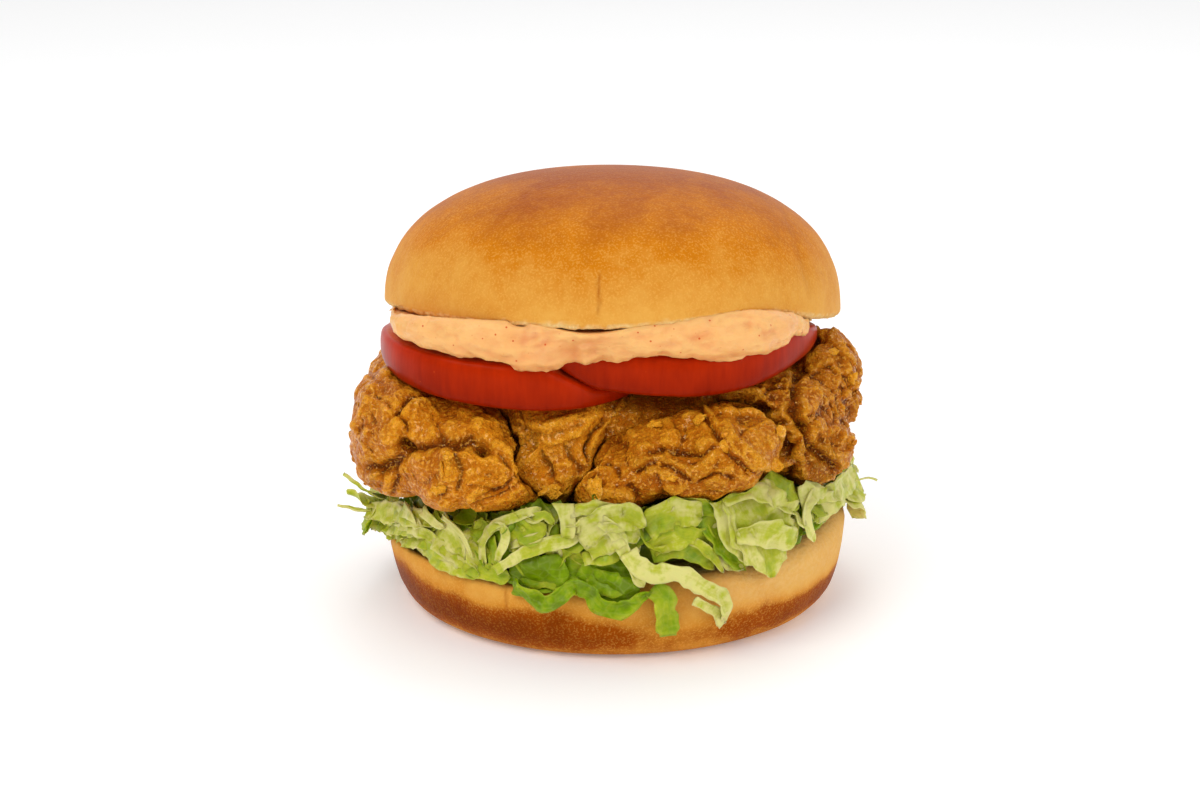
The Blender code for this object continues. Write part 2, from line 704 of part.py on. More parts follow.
def main():
    """Builds the burger from the bottom up."""
    clear_scene()
    crust = make_material("Golden crust", (0.72, 0.36, 0.10), 0.55)
    fried = make_material("Fried coating", (0.62, 0.28, 0.05), 0.50)
    tomato = make_material("Tomato", (0.60, 0.05, 0.01), 0.25)
    cream = make_material("Pink sauce", (0.94, 0.58, 0.30), 0.30)
    leafy = make_material("Lettuce", (0.55, 0.65, 0.15), 0.45)

    make_heel(crust)
    make_lettuce(leafy)
    left_cutter = left_slice("left_cutter", spare=GAP)
    right_cutter = right_slice("right_cutter", spare=GAP, deeper=5.0 * GAP)
    for name, spec in CHICKEN.items():
        make_chicken(name, spec, fried, (left_cutter, right_cutter))
    make_sauce(cream, (left_cutter, right_cutter))
    for cutter in (left_cutter, right_cutter):
        bpy.data.objects.remove(cutter, do_unlink=True)
    dress(left_slice("tomato_left"), tomato, 50.0)
    dress(right_slice("tomato_right"), tomato, 50.0)
    make_crown(crust)


main()
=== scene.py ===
"""Looks of the fried chicken burger: bun, lettuce, fried chicken, tomato slices and sauce.

Metres, +Z up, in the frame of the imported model. The camera looks along +Y at the front.
"""

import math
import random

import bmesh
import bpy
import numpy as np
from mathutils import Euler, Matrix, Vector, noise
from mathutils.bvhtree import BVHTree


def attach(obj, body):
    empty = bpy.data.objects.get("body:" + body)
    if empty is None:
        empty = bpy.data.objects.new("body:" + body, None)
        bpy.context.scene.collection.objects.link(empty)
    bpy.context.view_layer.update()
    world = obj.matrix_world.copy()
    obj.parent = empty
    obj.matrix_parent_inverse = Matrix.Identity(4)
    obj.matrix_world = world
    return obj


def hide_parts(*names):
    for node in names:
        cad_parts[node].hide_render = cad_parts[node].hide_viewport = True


bl_info = {
    "name": "Chicken burger",
    "version": (1, 0, 0),
    "blender": (4, 5, 0),
    "location": "3D View > Sidebar > Burger",
    "description": "Dresses the chicken burger piece by piece",
    "category": "Object",
}

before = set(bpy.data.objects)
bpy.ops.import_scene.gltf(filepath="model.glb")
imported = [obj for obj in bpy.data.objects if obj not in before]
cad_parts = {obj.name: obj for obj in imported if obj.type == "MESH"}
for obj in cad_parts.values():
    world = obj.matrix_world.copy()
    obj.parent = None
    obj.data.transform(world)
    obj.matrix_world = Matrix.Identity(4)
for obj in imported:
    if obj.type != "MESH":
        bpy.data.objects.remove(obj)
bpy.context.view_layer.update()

MM = 0.001
BODY = "root"
WARP_SEED = 7

# The photograph's camera, and its frame in pixels. A pixel's ray is searched for the burger's
# side between two distances, in steps.
PHOTO_WIDTH = 1200
PHOTO_HEIGHT = 800
CAMERA_LENS = 85.9
CAMERA_SENSOR = 36.0
CAMERA_DISTANCE = 0.700
CAMERA_ELEVATION = math.radians(16.0)
CAMERA_TARGET = Vector((-3.2, 0.0, 47.5)) * MM
CAMERA_TOWARDS = Vector((0.0, -math.cos(CAMERA_ELEVATION), math.sin(CAMERA_ELEVATION)))
CAMERA_PLACE = CAMERA_TARGET + CAMERA_DISTANCE * CAMERA_TOWARDS
PIXELS_PER_SLOPE = PHOTO_WIDTH * CAMERA_LENS / CAMERA_SENSOR
PIXELS_PER_MM = 4.45
RAY_START = CAMERA_DISTANCE - 0.085
RAY_END = CAMERA_DISTANCE + 0.02
RAY_STEP = 0.25 * MM

# The bun's shape beyond the sizes in its settings. Angles are from the right, towards the back.
CROWN_POWER = 2.4
CROWN_CUT_SHARES = (0.15, 0.35, 0.55, 0.7, 0.8, 0.88, 0.93, 0.96, 0.975)
CROWN_DOME_ROWS = 84
CROWN_LIP = 1.3 * MM
CROWN_LIP_TUCK = 0.55
CROWN_CRACK_PLACE = -3.9 * MM
CROWN_CRACK_WIDTH = 0.32 * MM
CROWN_CRACK_DEPTH = 0.35 * MM
CROWN_SEAM_PLACE = 47.0 * MM
CROWN_SEAM_SLANT = 0.30
CROWN_SEAM_WIDTH = 1.1 * MM
CROWN_SEAM_DEPTH = 0.25 * MM
CROWN_SLACK = 0.045
CROWN_LIFT = 3.7 * MM
CROWN_LIFT_ANGLE = math.radians(-55.0)
CROWN_LIFT_SPREAD = math.radians(24.0)
CROWN_SALT = 2.0
HEEL_WIDER_RIGHT = 1.5 * MM
HEEL_WIDER_FRONT = 0.6 * MM
HEEL_POWER_OUT = 3.4
HEEL_POWER_UP = 2.2
HEEL_FOOT_FLARES = (-0.6, -0.2, -0.04)
HEEL_CUT_FLARES = (0.62, 0.5, 0.3, 0.0, -0.3, -0.6)
HEEL_FLANK_STEPS = 56
HEEL_FLANK_TURN = math.radians(80.0)
HEEL_RIM_STEPS = 14
HEEL_RIM_INSIDE = 0.70
HEEL_CRACK_PLACE = -24.5 * MM
HEEL_CRACK_WIDTH = 0.3 * MM
HEEL_CRACK_DEPTH = 0.4 * MM
HEEL_SALT = 5.0
RIM_RAISE = 3.2 * MM
RIM_FLARE = 1.6 * MM
RIM_RAISE_ANGLE = math.radians(216.0)
RIM_RAISE_SPREAD = math.radians(32.0)
BUN_SEGMENTS = 600

# The tomato slices.
LEFT_SLICE_CENTRE = Vector((-0.0215, -0.0150, 0.0))
RIGHT_SLICE_CENTRE = Vector((0.0125, -0.0155, 0.0))
LEFT_SLICE_UNDERSIDE = 61.7 * MM
RIGHT_SLICE_UNDERSIDE = 65.6 * MM
SLICE_DROOP = 2.4
SLICE_CREST = -12.0 * MM
SLICE_TAPER = 0.12
SLICE_TAPER_MOST = 5.0 * MM
SLICE_SAUCE = 1.6 * MM
SLICE_GAP = 0.6 * MM
SLICE_BEND = 1.2 * MM
LEFT_SLICE_END = 14.0 * MM
SLICE_CUT_SHARES = (0.2, 0.45, 0.65, 0.8, 0.88, 0.93)
SLICE_EDGE = 0.05
SLICE_EDGE_STEPS = 26
SLICE_SEGMENTS = 300
SLICE_BULGE = 4.2 * MM
SLICE_BULGE_ANGLE = math.radians(-137.0)
SLICE_BULGE_SPREAD = math.radians(15.0)

# The sauce.
SAUCE_CELL = 0.58 * MM
SAUCE_QUICK_CELL = 0.9 * MM
SAUCE_LEFT_END = 50.0 * MM
SAUCE_RIGHT_END = 44.0 * MM
SAUCE_MOST_LIFT = 3.0 * MM
SAUCE_MOST_OUT = 4.0 * MM
SAUCE_FULLNESS = 0.9 * MM
SAUCE_RIDGES = 0.50 * MM
SAUCE_SWELLS = 0.70 * MM
SAUCE_GRAIN = 0.30 * MM
SAUCE_BRIM = 0.985
SAUCE_COLUMNS = np.arange(372.0, 836.0, 5.0)
SAUCE_COLUMN_REACH = 5.0
SAUCE_NOTCH_COLUMN = 590.0
SAUCE_NOTCH_WIDTH = 32.0

# The chicken.
CHICKEN_FLOOR = 34.6 * MM
CHICKEN_FLOOR_SLOPE = 0.02
CHICKEN_QUICK_FACTOR = 1.7
FOLD_STRENGTH = 1.3
UNDERSIDE_RELIEF = 0.9 * MM
COATING_REACH = 4.0 * MM
MATE_REACH = 8.0 * MM
NEIGHBOUR_GAP = 0.25 * MM
MATE_GAP = 0.05 * MM
SEAM_BEND_SIZE = 9.5 * MM
SEAM_BEND_STRENGTH = 5.5 * MM
FRONT_START = 12.0 * MM
FRONT_FULL = 22.0 * MM
BURGER_SIDE = 55.0 * MM
INNER_RADIUS = 42.0 * MM
INNER_SEGMENTS = 280
INNER_STEPS = 28
FLAKE_RINGS = 5
FLAKE_SPOKES = 18
LOOSE_CRUMBS = 90

# The lettuce.
LEAF_CELL = 0.75 * MM
LEAF_THICKNESS = 0.5
LEAF_ROOT = 45.0 * MM
LEAF_BEND = 3.5 * MM
LEAF_TWIST = 0.4
LEAF_TIP = 0.16
LEAF_POINTED = 0.12
LEAF_BLUNT = 0.75
LEAF_OVER_HEEL = 0.35 * MM
LEAF_OFF_CHICKEN = 0.5 * MM
SIDE_TUCK = 1.5 * MM
FRONT_FILL = 74
FRONT_FILL_START = 366.0
FRONT_FILL_SPAN = 476.0
BACK_LEAVES = 50
FILL_LEAVES = 72
CORE_RADIUS = 47.5 * MM
CORE_SEGMENTS = 220


def tone(red, green, blue):
    """Scene-linear colour from a screen's red, green and blue, 0 to 255."""
    shares = (value / 255.0 for value in (red, green, blue))
    return tuple(s / 12.92 if s <= 0.04045 else ((s + 0.055) / 1.055) ** 2.4 for s in shares)


def length_property(name, description, default):
    """A size that a user may change."""
    return bpy.props.FloatProperty(
        name=name, description=description, default=default, min=0.0, unit="LENGTH", subtype="DISTANCE"
    )


def colour_property(name, description, default):
    """A colour that a user may change."""
    return bpy.props.FloatVectorProperty(
        name=name, description=description, default=default, min=0.0, max=1.0, size=3, subtype="COLOR"
    )


def angle_property(name, description, default):
    """An angle that a user may change."""
    return bpy.props.FloatProperty(name=name, description=description, default=default, subtype="ANGLE")


class BunSettings(bpy.types.PropertyGroup):
    """Sizes and colours of the bun."""

    crown_radius: length_property("Crown radius", "Half the width of the top half", 54.8 * MM)
    crown_height: length_property("Crown height", "Height of the dome", 34.0 * MM)
    crown_seat: length_property("Crown seat", "Height of the middle of the crown's cut face", 71.2 * MM)
    lean_back: angle_property("Lean back", "How far the crown leans back", math.radians(8.2))
    lean_side: angle_property("Lean sideways", "How far the crown leans right", math.radians(1.6))
    heel_radius: length_property("Heel radius", "Half the width of the bottom half", 56.6 * MM)
    foot_radius: length_property("Foot radius", "Half the width of its flat underside", 44.8 * MM)
    heel_height: length_property("Heel height", "Height of the middle of its cut face", 19.0 * MM)
    heel_slope: bpy.props.FloatProperty(
        name="Heel slope", description="How fast its cut face rises to the right", default=0.075
    )
    pale_crust: colour_property("Pale crust", "Crust near a cut edge", tone(225, 165, 74))
    golden_crust: colour_property("Golden crust", "Crust on the flanks", tone(202, 119, 10))
    brown_crust: colour_property("Brown crust", "Crust on the top", tone(158, 74, 4))
    dark_crust: colour_property("Dark crust", "The toasted band of the heel", tone(124, 50, 1))
    crumb: colour_property("Crumb", "The bread inside", tone(236, 200, 136))


class FillingSettings(bpy.types.PropertyGroup):
    """Sizes and colours of the tomato, sauce and lettuce."""

    left_slice_radius: length_property("Left slice radius", "Radius of the left tomato slice", 34.0 * MM)
    right_slice_radius: length_property("Right slice radius", "Radius of the right tomato slice", 35.3 * MM)
    left_slice_thick: length_property("Left slice, thick", "Its thickness at the left", 10.6 * MM)
    left_slice_thin: length_property("Left slice, thin", "Its thickness at the right", 4.4 * MM)
    right_slice_thickness: length_property("Right slice", "Thickness of the right slice", 9.2 * MM)
    tomato_skin: colour_property("Tomato skin", "The red skin", tone(182, 40, 0))
    # Deep red: the skin's darker streaks, and the painted shade on its lower part.
    tomato_streaks_and_shade: colour_property("Deep red", "The darker streaks of the skin", tone(104, 9, 0))
    tomato_flesh: colour_property("Tomato flesh", "The cut faces", tone(204, 74, 26))
    sauce_cream: colour_property("Sauce", "The creamy sauce", tone(240, 184, 114))
    sauce_blush: colour_property("Sauce blush", "Where the sauce is thin over tomato", tone(226, 138, 80))
    sauce_specks: colour_property("Sauce specks", "Specks of spice", tone(206, 70, 12))
    leaf_pale: colour_property("Pale leaf", "Ribs and inner leaves", tone(216, 210, 130))
    leaf_light: colour_property("Light leaf", "Most of the lettuce", tone(181, 185, 46))
    leaf_green: colour_property("Green leaf", "Outer leaves", tone(122, 152, 2))
    # Deep green: the greenest leaves' own dark green, and the painted shade inside the heap.
    leaf_deep_green_and_shade: colour_property("Deep green", "Inside the heap", tone(74, 94, 3))


class ChickenSettings(bpy.types.PropertyGroup):
    """Sizes and colours of the fried chicken."""

    voxel: length_property("Detail", "Size of the mesh cells of the coating", 0.56 * MM)
    lump_size: length_property("Lump size", "Width of the coating's lumps", 7.5 * MM)
    crag_size: length_property("Crag size", "Width of the coating's crags", 2.9 * MM)
    coating_gold: colour_property("Golden coating", "Most of the coating", tone(230, 143, 18))
    # Bright coating: thin raised flakes and flecks, and partly a painted highlight on raised ridges.
    coating_bright: colour_property("Bright coating", "Thin raised flakes", tone(250, 174, 40))
    coating_brown: colour_property("Brown coating", "Well fried patches", tone(178, 90, 6))
    # Dark coating: painted shade in the folds and between the pieces.
    coating_fold_shade: colour_property("Dark coating", "The bottoms of folds", tone(92, 36, 2))


def eased(value, low, high):
    """0 below low, 1 above high, eased between. Works on numbers and arrays."""
    share = np.clip((value - low) / (high - low), 0.0, 1.0)
    return share * share * (3.0 - 2.0 * share)


def within(value, low, full, past, high):
    """1 from full to past, eased down to 0 at low and at high."""
    return eased(value, low, full) * (1.0 - eased(value, past, high))


def turns(count):
    """Angles spread evenly round a full turn."""
    return [2.0 * math.pi * i / count for i in range(count)]


def outward(angle, up=0.0):
    """The direction out from the middle at an angle, with a given height."""
    return Vector((math.cos(angle), math.sin(angle), up))


def uneven(spot, *layers):
    """Sum of smooth noise at one place, in layers (height, size of its features)."""
    return sum(height * noise.noise(spot / size) for height, size in layers)


def noise_at(points, size, salt=0.0):
    """Smooth noise from -1 to 1 at each point, with features of a given size."""
    moved = points / size + np.array((salt, -salt, 0.5 * salt))
    return np.array([noise.noise(row) for row in moved.tolist()])


def puffs_at(points, size, salt=0.0):
    """Round bumps of a given size that meet in sharp creases, 1 on top and about 0 in a crease."""
    moved = points / size + np.array((salt, -salt, 0.5 * salt))
    near = (noise.voronoi(row)[0][0] for row in moved.tolist())
    return np.array([1.0 - 1.6 * distance for distance in near])


def warped(points, size, strength, salt=0.0):
    """Points pushed about by smooth noise, so that patterns read from them bend."""
    noise.seed_set(WARP_SEED)
    moved = points / size + salt
    push = np.array([noise.noise_vector(row) for row in moved.tolist()])
    return points + strength * push


def read_points(mesh):
    """The vertices of a mesh as an array of rows."""
    points = np.empty(len(mesh.vertices) * 3)
    mesh.vertices.foreach_get("co", points)
    return points.reshape(-1, 3)


def read_normals(mesh):
    """The vertex normals of a mesh as an array of rows."""
    normals = np.empty(len(mesh.vertices) * 3)
    mesh.vertex_normals.foreach_get("vector", normals)
    return normals.reshape(-1, 3)


def write_points(mesh, points):
    """Moves the vertices of a mesh."""
    mesh.vertices.foreach_set("co", points.ravel())
    mesh.update()


def keep_value(mesh, name, values):
    """Stores a number for each vertex, for the material to read."""
    layer = mesh.attributes.get(name) or mesh.attributes.new(name, "FLOAT", "POINT")
    layer.data.foreach_set("value", np.asarray(values, dtype=np.float32))


def relaxed(mesh, points, rounds):
    """The points after each has moved, a number of times, to the middle of its neighbours."""
    pairs = np.empty(len(mesh.edges) * 2, dtype=np.int64)
    mesh.edges.foreach_get("vertices", pairs)
    first, second = pairs[::2], pairs[1::2]
    count = len(points)
    ties = np.bincount(first, minlength=count) + np.bincount(second, minlength=count)
    for _ in range(rounds):
        columns = []
        for axis in range(3):
            column = points[:, axis]
            total = np.bincount(first, column[second], count) + np.bincount(second, column[first], count)
            columns.append(total / np.maximum(ties, 1))
        points = np.stack(columns, axis=1)
    return points


def relief(mesh, rounds, full):
    """How far each vertex stands out of its surroundings, from -1 in a hollow to 1 on a ridge."""
    points = read_points(mesh)
    lifted = points - relaxed(mesh, points, rounds)
    return np.clip(np.einsum("ij,ij->i", lifted, read_normals(mesh)) / full, -1.0, 1.0)


def linked(name, data):
    """An object for a mesh, a lamp or a camera, in the scene."""
    made = bpy.data.objects.new(name, data)
    bpy.context.scene.collection.objects.link(made)
    return made


def dressed(piece, material, nodes):
    """Finishes a piece: its material, smooth shading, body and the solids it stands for."""
    piece.data.materials.clear()
    piece.data.materials.append(material)
    piece.data.shade_smooth()
    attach(piece, BODY)
    if nodes:
        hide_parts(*nodes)
    return piece


def applied(piece):
    """Replaces an object's mesh with the one its modifiers make."""
    bpy.context.view_layer.update()
    graph = bpy.context.evaluated_depsgraph_get()
    mesh = bpy.data.meshes.new_from_object(piece.evaluated_get(graph), depsgraph=graph)
    piece.modifiers.clear()
    piece.data = mesh
    return piece


def recast(name, node, voxel):
    """A copy of a solid in even, fine cells, with its facets eased away."""
    piece = linked(name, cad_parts[node].data.copy())
    even = piece.modifiers.new("Even cells", "REMESH")
    even.mode = "VOXEL"
    even.voxel_size = voxel
    return applied(piece)


def tree_over(meshes):
    """A search tree over the triangles of some meshes."""
    points = []
    faces = []
    for mesh in meshes:
        start = len(points)
        points += [vert.co.copy() for vert in mesh.vertices]
        faces += [tuple(start + i for i in face.vertices) for face in mesh.polygons]
    return BVHTree.FromPolygons(points, faces)


def tree_of(nodes):
    """A search tree over the triangles of some solids."""
    return tree_over([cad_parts[node].data for node in nodes])


def shell(name, rings, poles=()):
    """A mesh from rings with equal counts of points, each closed on itself, with a pole at either end."""
    count = len(rings[0])
    points = [point for ring in rings for point in ring] + list(poles)
    faces = []
    for i in range(len(rings) - 1):
        for j in range(count):
            k = (j + 1) % count
            faces.append((i * count + j, i * count + k, (i + 1) * count + k, (i + 1) * count + j))
    if poles:
        low = len(rings) * count
        last = (len(rings) - 1) * count
        for j in range(count):
            k = (j + 1) % count
            faces.append((low, k, j))
            faces.append((low + 1, last + j, last + k))
    mesh = bpy.data.meshes.new(name)
    mesh.from_pydata([tuple(point) for point in points], [], faces)
    mesh.update()
    return mesh


def on_photo(points):
    """Where points lie in the photograph, in its pixels, and how far they are from the camera."""
    side = np.array((1.0, 0.0, 0.0))
    up = np.array(CAMERA_TOWARDS.cross(Vector((1.0, 0.0, 0.0))))
    away = points - np.array(CAMERA_PLACE)
    depth = -(away @ np.array(CAMERA_TOWARDS))
    across = 0.5 * PHOTO_WIDTH + PIXELS_PER_SLOPE * (away @ side) / depth
    down = 0.5 * PHOTO_HEIGHT - PIXELS_PER_SLOPE * (away @ up) / depth
    return across, down, depth


def photo_ray(across, down):
    """Direction from the camera through a pixel of the photograph."""
    side = Vector((1.0, 0.0, 0.0))
    up = CAMERA_TOWARDS.cross(side)
    slope_x = (across - 0.5 * PHOTO_WIDTH) / PIXELS_PER_SLOPE
    slope_y = (0.5 * PHOTO_HEIGHT - down) / PIXELS_PER_SLOPE
    return (side * slope_x + up * slope_y - CAMERA_TOWARDS).normalized()


class Wires:
    """Adds shader nodes to a tree and links them, one call a node."""

    def __init__(self, tree):
        self.tree = tree

    def feed(self, socket, value):
        """Links a socket to another, or gives it a number or a colour."""
        if isinstance(value, bpy.types.NodeSocket):
            self.tree.links.new(value, socket)
        elif socket.type == "RGBA":
            socket.default_value = (*tuple(value)[:3], 1.0)
        else:
            socket.default_value = value

    def add(self, kind, feeds=None, **settings):
        """Adds a node with its settings and what its inputs take."""
        node = self.tree.nodes.new(kind)
        for key, value in settings.items():
            setattr(node, key, value)
        for key, value in (feeds or {}).items():
            self.feed(node.inputs[key], value)
        return node

    def sum(self, kind, first, second=0.0, clamp=False):
        """The result of a sum on two values."""
        return self.add("ShaderNodeMath", {0: first, 1: second}, operation=kind, use_clamp=clamp).outputs[0]

    def plus(self, first, second, clamp=False):
        """Two values added."""
        return self.sum("ADD", first, second, clamp)

    def less(self, first, second, clamp=False):
        """The second value taken from the first."""
        return self.sum("SUBTRACT", first, second, clamp)

    def times(self, first, second):
        """Two values multiplied."""
        return self.sum("MULTIPLY", first, second)

    def blend(self, share, first, second):
        """Two colours mixed."""
        return self.add("ShaderNodeMix", {0: share, 6: first, 7: second}, data_type="RGBA").outputs[2]

    def span(self, value, low, high, start=0.0, end=1.0):
        """A value brought from one range to another, eased and held at both ends."""
        feeds = {"Value": value, "From Min": low, "From Max": high, "To Min": start, "To Max": end}
        return self.add("ShaderNodeMapRange", feeds, interpolation_type="SMOOTHSTEP").outputs[0]

    def ramp(self, value, stops):
        """A colour picked from stops (place, colour) by a value."""
        node = self.add("ShaderNodeValToRGB", {0: value})
        places = node.color_ramp.elements
        while len(places) < len(stops):
            places.new(0.5)
        for element, (place, colour) in zip(places, stops):
            element.position = place
            element.color = (*tuple(colour)[:3], 1.0)
        return node.outputs[0]

    def value(self, name):
        """A number stored on the mesh."""
        return self.add("ShaderNodeAttribute", attribute_name=name).outputs["Fac"]

    def place(self):
        """The place on the object, in metres."""
        return self.add("ShaderNodeTexCoord").outputs["Object"]

    def stretched(self, place, factors):
        """A place scaled along each axis, so that patterns read from it are drawn out."""
        return self.add("ShaderNodeMapping", {"Vector": place, "Scale": factors}).outputs[0]

    def use(self, group, **feeds):
        """Places a node group, feeds its inputs and gives its output."""
        node = self.add("ShaderNodeGroup", node_tree=group)
        for key, value in feeds.items():
            self.feed(node.inputs[key], value)
        return node.outputs[0]

    def mottled(self, place, size, contrast):
        """Soft uneven patches."""
        return self.use(mottling(), Place=place, Size=size, Contrast=contrast)

    def specked(self, place, spacing, radius, share):
        """Scattered specks."""
        return self.use(specks(), Place=place, Spacing=spacing, Radius=radius, Share=share)

    def grained(self, place, size, pits):
        """The height of a fine grain."""
        return self.use(fine_grain(), Place=place, Size=size, Pits=pits)


def effect(name, inputs, outputs, build):
    """A shader node group, built once, with its named inputs and outputs."""
    known = bpy.data.node_groups.get(name)
    if known:
        return known
    group = bpy.data.node_groups.new(name, "ShaderNodeTree")
    for label, kind, value in inputs:
        socket = group.interface.new_socket(label, in_out="INPUT", socket_type=kind)
        if value is not None:
            socket.default_value = value
    for label, kind in outputs:
        group.interface.new_socket(label, in_out="OUTPUT", socket_type=kind)
    wires = Wires(group)
    entry = wires.add("NodeGroupInput").outputs
    leave = wires.add("NodeGroupOutput").inputs
    build(wires, entry, leave)
    return group


def mottling():
    """Group: soft uneven patches of a given size, from 0 to 1."""

    def build(wires, entry, leave):
        scale = wires.sum("DIVIDE", 1.0, entry["Size"])
        soft = wires.add(
            "ShaderNodeTexNoise", {"Vector": entry["Place"], "Scale": scale, "Detail": 3.0, "Roughness": 0.55}
        ).outputs[0]
        spread = wires.times(wires.less(soft, 0.5), entry["Contrast"])
        wires.feed(leave["Mask"], wires.plus(spread, 0.5, clamp=True))

    inputs = (
        ("Place", "NodeSocketVector", None),
        ("Size", "NodeSocketFloat", 0.01),
        ("Contrast", "NodeSocketFloat", 2.0),
    )
    return effect("Mottling", inputs, (("Mask", "NodeSocketFloat"),), build)


def specks():
    """Group: scattered round specks of a given size, 1 on a speck."""

    def build(wires, entry, leave):
        scale = wires.sum("DIVIDE", 1.0, entry["Spacing"])
        cells = wires.add("ShaderNodeTexVoronoi", {"Vector": entry["Place"], "Scale": scale}).outputs
        lot = wires.add("ShaderNodeSeparateColor", {0: cells["Color"]}).outputs[0]
        picked = wires.sum("LESS_THAN", lot, entry["Share"])
        dot = wires.span(cells["Distance"], entry["Radius"], wires.times(entry["Radius"], 0.55))
        wires.feed(leave["Mask"], wires.times(dot, picked))

    inputs = (
        ("Place", "NodeSocketVector", None),
        ("Spacing", "NodeSocketFloat", 0.003),
        ("Radius", "NodeSocketFloat", 0.2),
        ("Share", "NodeSocketFloat", 0.5),
    )
    return effect("Specks", inputs, (("Mask", "NodeSocketFloat"),), build)


def fine_grain():
    """Group: the height of a fine, slightly pitted grain."""

    def build(wires, entry, leave):
        scale = wires.sum("DIVIDE", 1.0, entry["Size"])
        soft = wires.add(
            "ShaderNodeTexNoise", {"Vector": entry["Place"], "Scale": scale, "Detail": 4.0, "Roughness": 0.6}
        ).outputs[0]
        cells = wires.add("ShaderNodeTexVoronoi", {"Vector": entry["Place"], "Scale": scale}).outputs
        sunk = wires.times(wires.span(cells["Distance"], 0.25, 0.0), entry["Pits"])
        wires.feed(leave["Height"], wires.less(soft, sunk))

    inputs = (
        ("Place", "NodeSocketVector", None),
        ("Size", "NodeSocketFloat", 0.001),
        ("Pits", "NodeSocketFloat", 0.3),
    )
    return effect("Fine grain", inputs, (("Height", "NodeSocketFloat"),), build)


def surface(name, roughness, **sockets):
    """A new material with its shader's own settings. Gives the material, its wires and its shader."""
    made = bpy.data.materials.new(name)
    made.use_nodes = True
    shader = made.node_tree.nodes["Principled BSDF"]
    shader.inputs["Roughness"].default_value = roughness
    for label, value in sockets.items():
        shader.inputs[label.replace("_", " ").title().replace("Ior", "IOR")].default_value = value
    return made, Wires(made.node_tree), shader.inputs


def bumped(wires, shader, height, depth, strength=1.0):
    """Gives a shader relief of a given depth."""
    feeds = {"Height": height, "Distance": depth, "Strength": strength}
    wires.feed(shader["Normal"], wires.add("ShaderNodeBump", feeds).outputs[0])


def crust_material(bun, name, stops, gloss_level):
    """Bun crust: the toast attribute picks its colour, with fine pale speckles and soft patches."""
    made, wires, shader = surface(
        name, 0.42, subsurface_weight=0.05, subsurface_scale=0.0012, specular_ior_level=gloss_level,
        specular_tint=(1.0, 0.66, 0.36, 1.0)
    )
    place = wires.place()
    patches = wires.mottled(place, 0.011, 1.6)
    small = wires.mottled(place, 0.0024, 2.2)
    toast = wires.plus(wires.value("toast"), wires.span(patches, 0.0, 1.0, -0.10, 0.10))
    toast = wires.plus(toast, wires.span(small, 0.0, 1.0, -0.045, 0.045))
    colour = wires.ramp(toast, stops)
    speckle = wires.mottled(place, 0.0005, 5.0)
    speckle = wires.times(wires.span(speckle, 0.55, 1.0), wires.span(toast, 0.25, 0.80, 0.50, 0.16))
    colour = wires.blend(speckle, colour, bun.pale_crust)
    pores = wires.specked(place, 0.0046, 0.07, 0.15)
    colour = wires.blend(wires.times(pores, 0.4), colour, bun.brown_crust)
    crumb = wires.value("crumb")
    holes = wires.mottled(place, 0.0011, 4.0)
    bread = wires.blend(wires.times(holes, 0.45), bun.crumb, bun.pale_crust)
    colour = wires.blend(crumb, colour, bread)
    # Painted shade in the crack, and faintly along the seam: darkened towards brown crust.
    crack = wires.value("crack")
    colour = wires.blend(wires.times(crack, 0.6), colour, bun.brown_crust)
    wires.feed(shader["Base Color"], colour)
    grain = wires.grained(place, 0.0009, 0.25)
    coarse = wires.grained(place, 0.0035, 0.0)
    height = wires.plus(grain, wires.times(coarse, 1.5))
    height = wires.less(height, wires.times(holes, wires.times(crumb, 1.6)))
    bumped(wires, shader, height, 0.00016)
    gloss = wires.plus(wires.span(toast, 0.2, 0.9, 0.56, 0.44), wires.times(crumb, 0.4))
    wires.feed(shader["Roughness"], gloss)
    return made


def bun_wobble(angle, salt):
    """How far from round a bun is, as a share of its radius."""
    around = outward(angle, salt)
    return 1.0 + 0.016 * noise.noise(around * 1.3) + 0.006 * noise.noise(around * 3.7)


def crown_lift(angle, share):
    """How far the crown's lower edge is pushed up by the sauce at the right of the front."""
    off = math.remainder(angle - CROWN_LIFT_ANGLE, 2.0 * math.pi) / CROWN_LIFT_SPREAD
    inward = min(1.0, max(0.0, (share - 0.45) / 0.55))
    return CROWN_LIFT * math.exp(-off * off) * inward * inward


def crown_tilt(bun):
    """How the crown leans."""
    return Euler((-bun.lean_back, bun.lean_side, 0.0)).to_matrix()


def crown_underside(bun, x, y):
    """Height of the crown's cut face."""
    tilt = crown_tilt(bun)
    normal = tilt @ Vector((0.0, 0.0, 1.0))
    level = bun.crown_seat - (normal.x * x + normal.y * y) / normal.z
    local = tilt.transposed() @ Vector((x, y, level - bun.crown_seat))
    share = math.hypot(local.x, local.y) / bun.crown_radius
    return level + crown_lift(math.atan2(local.y, local.x), share)


def heel_top(bun, x):
    """Height of the heel's cut face."""
    return bun.heel_height + bun.heel_slope * x


def heel_reach(bun, angle):
    """How far the heel reaches from the middle in a direction."""
    reach = bun.heel_radius + HEEL_WIDER_RIGHT * math.cos(angle) - HEEL_WIDER_FRONT * math.cos(2.0 * angle)
    return reach * bun_wobble(angle, HEEL_SALT)


def crown_rows():
    """Rows (share of the radius, level) out over the crown's cut face and up its dome."""
    rows = [(share, 0.0) for share in CROWN_CUT_SHARES]
    for i in range(CROWN_DOME_ROWS):
        rise = 0.5 * math.pi * (i / CROWN_DOME_ROWS) ** 1.15
        rows.append((math.cos(rise) ** (2.0 / CROWN_POWER), math.sin(rise) ** (2.0 / CROWN_POWER)))
    return rows


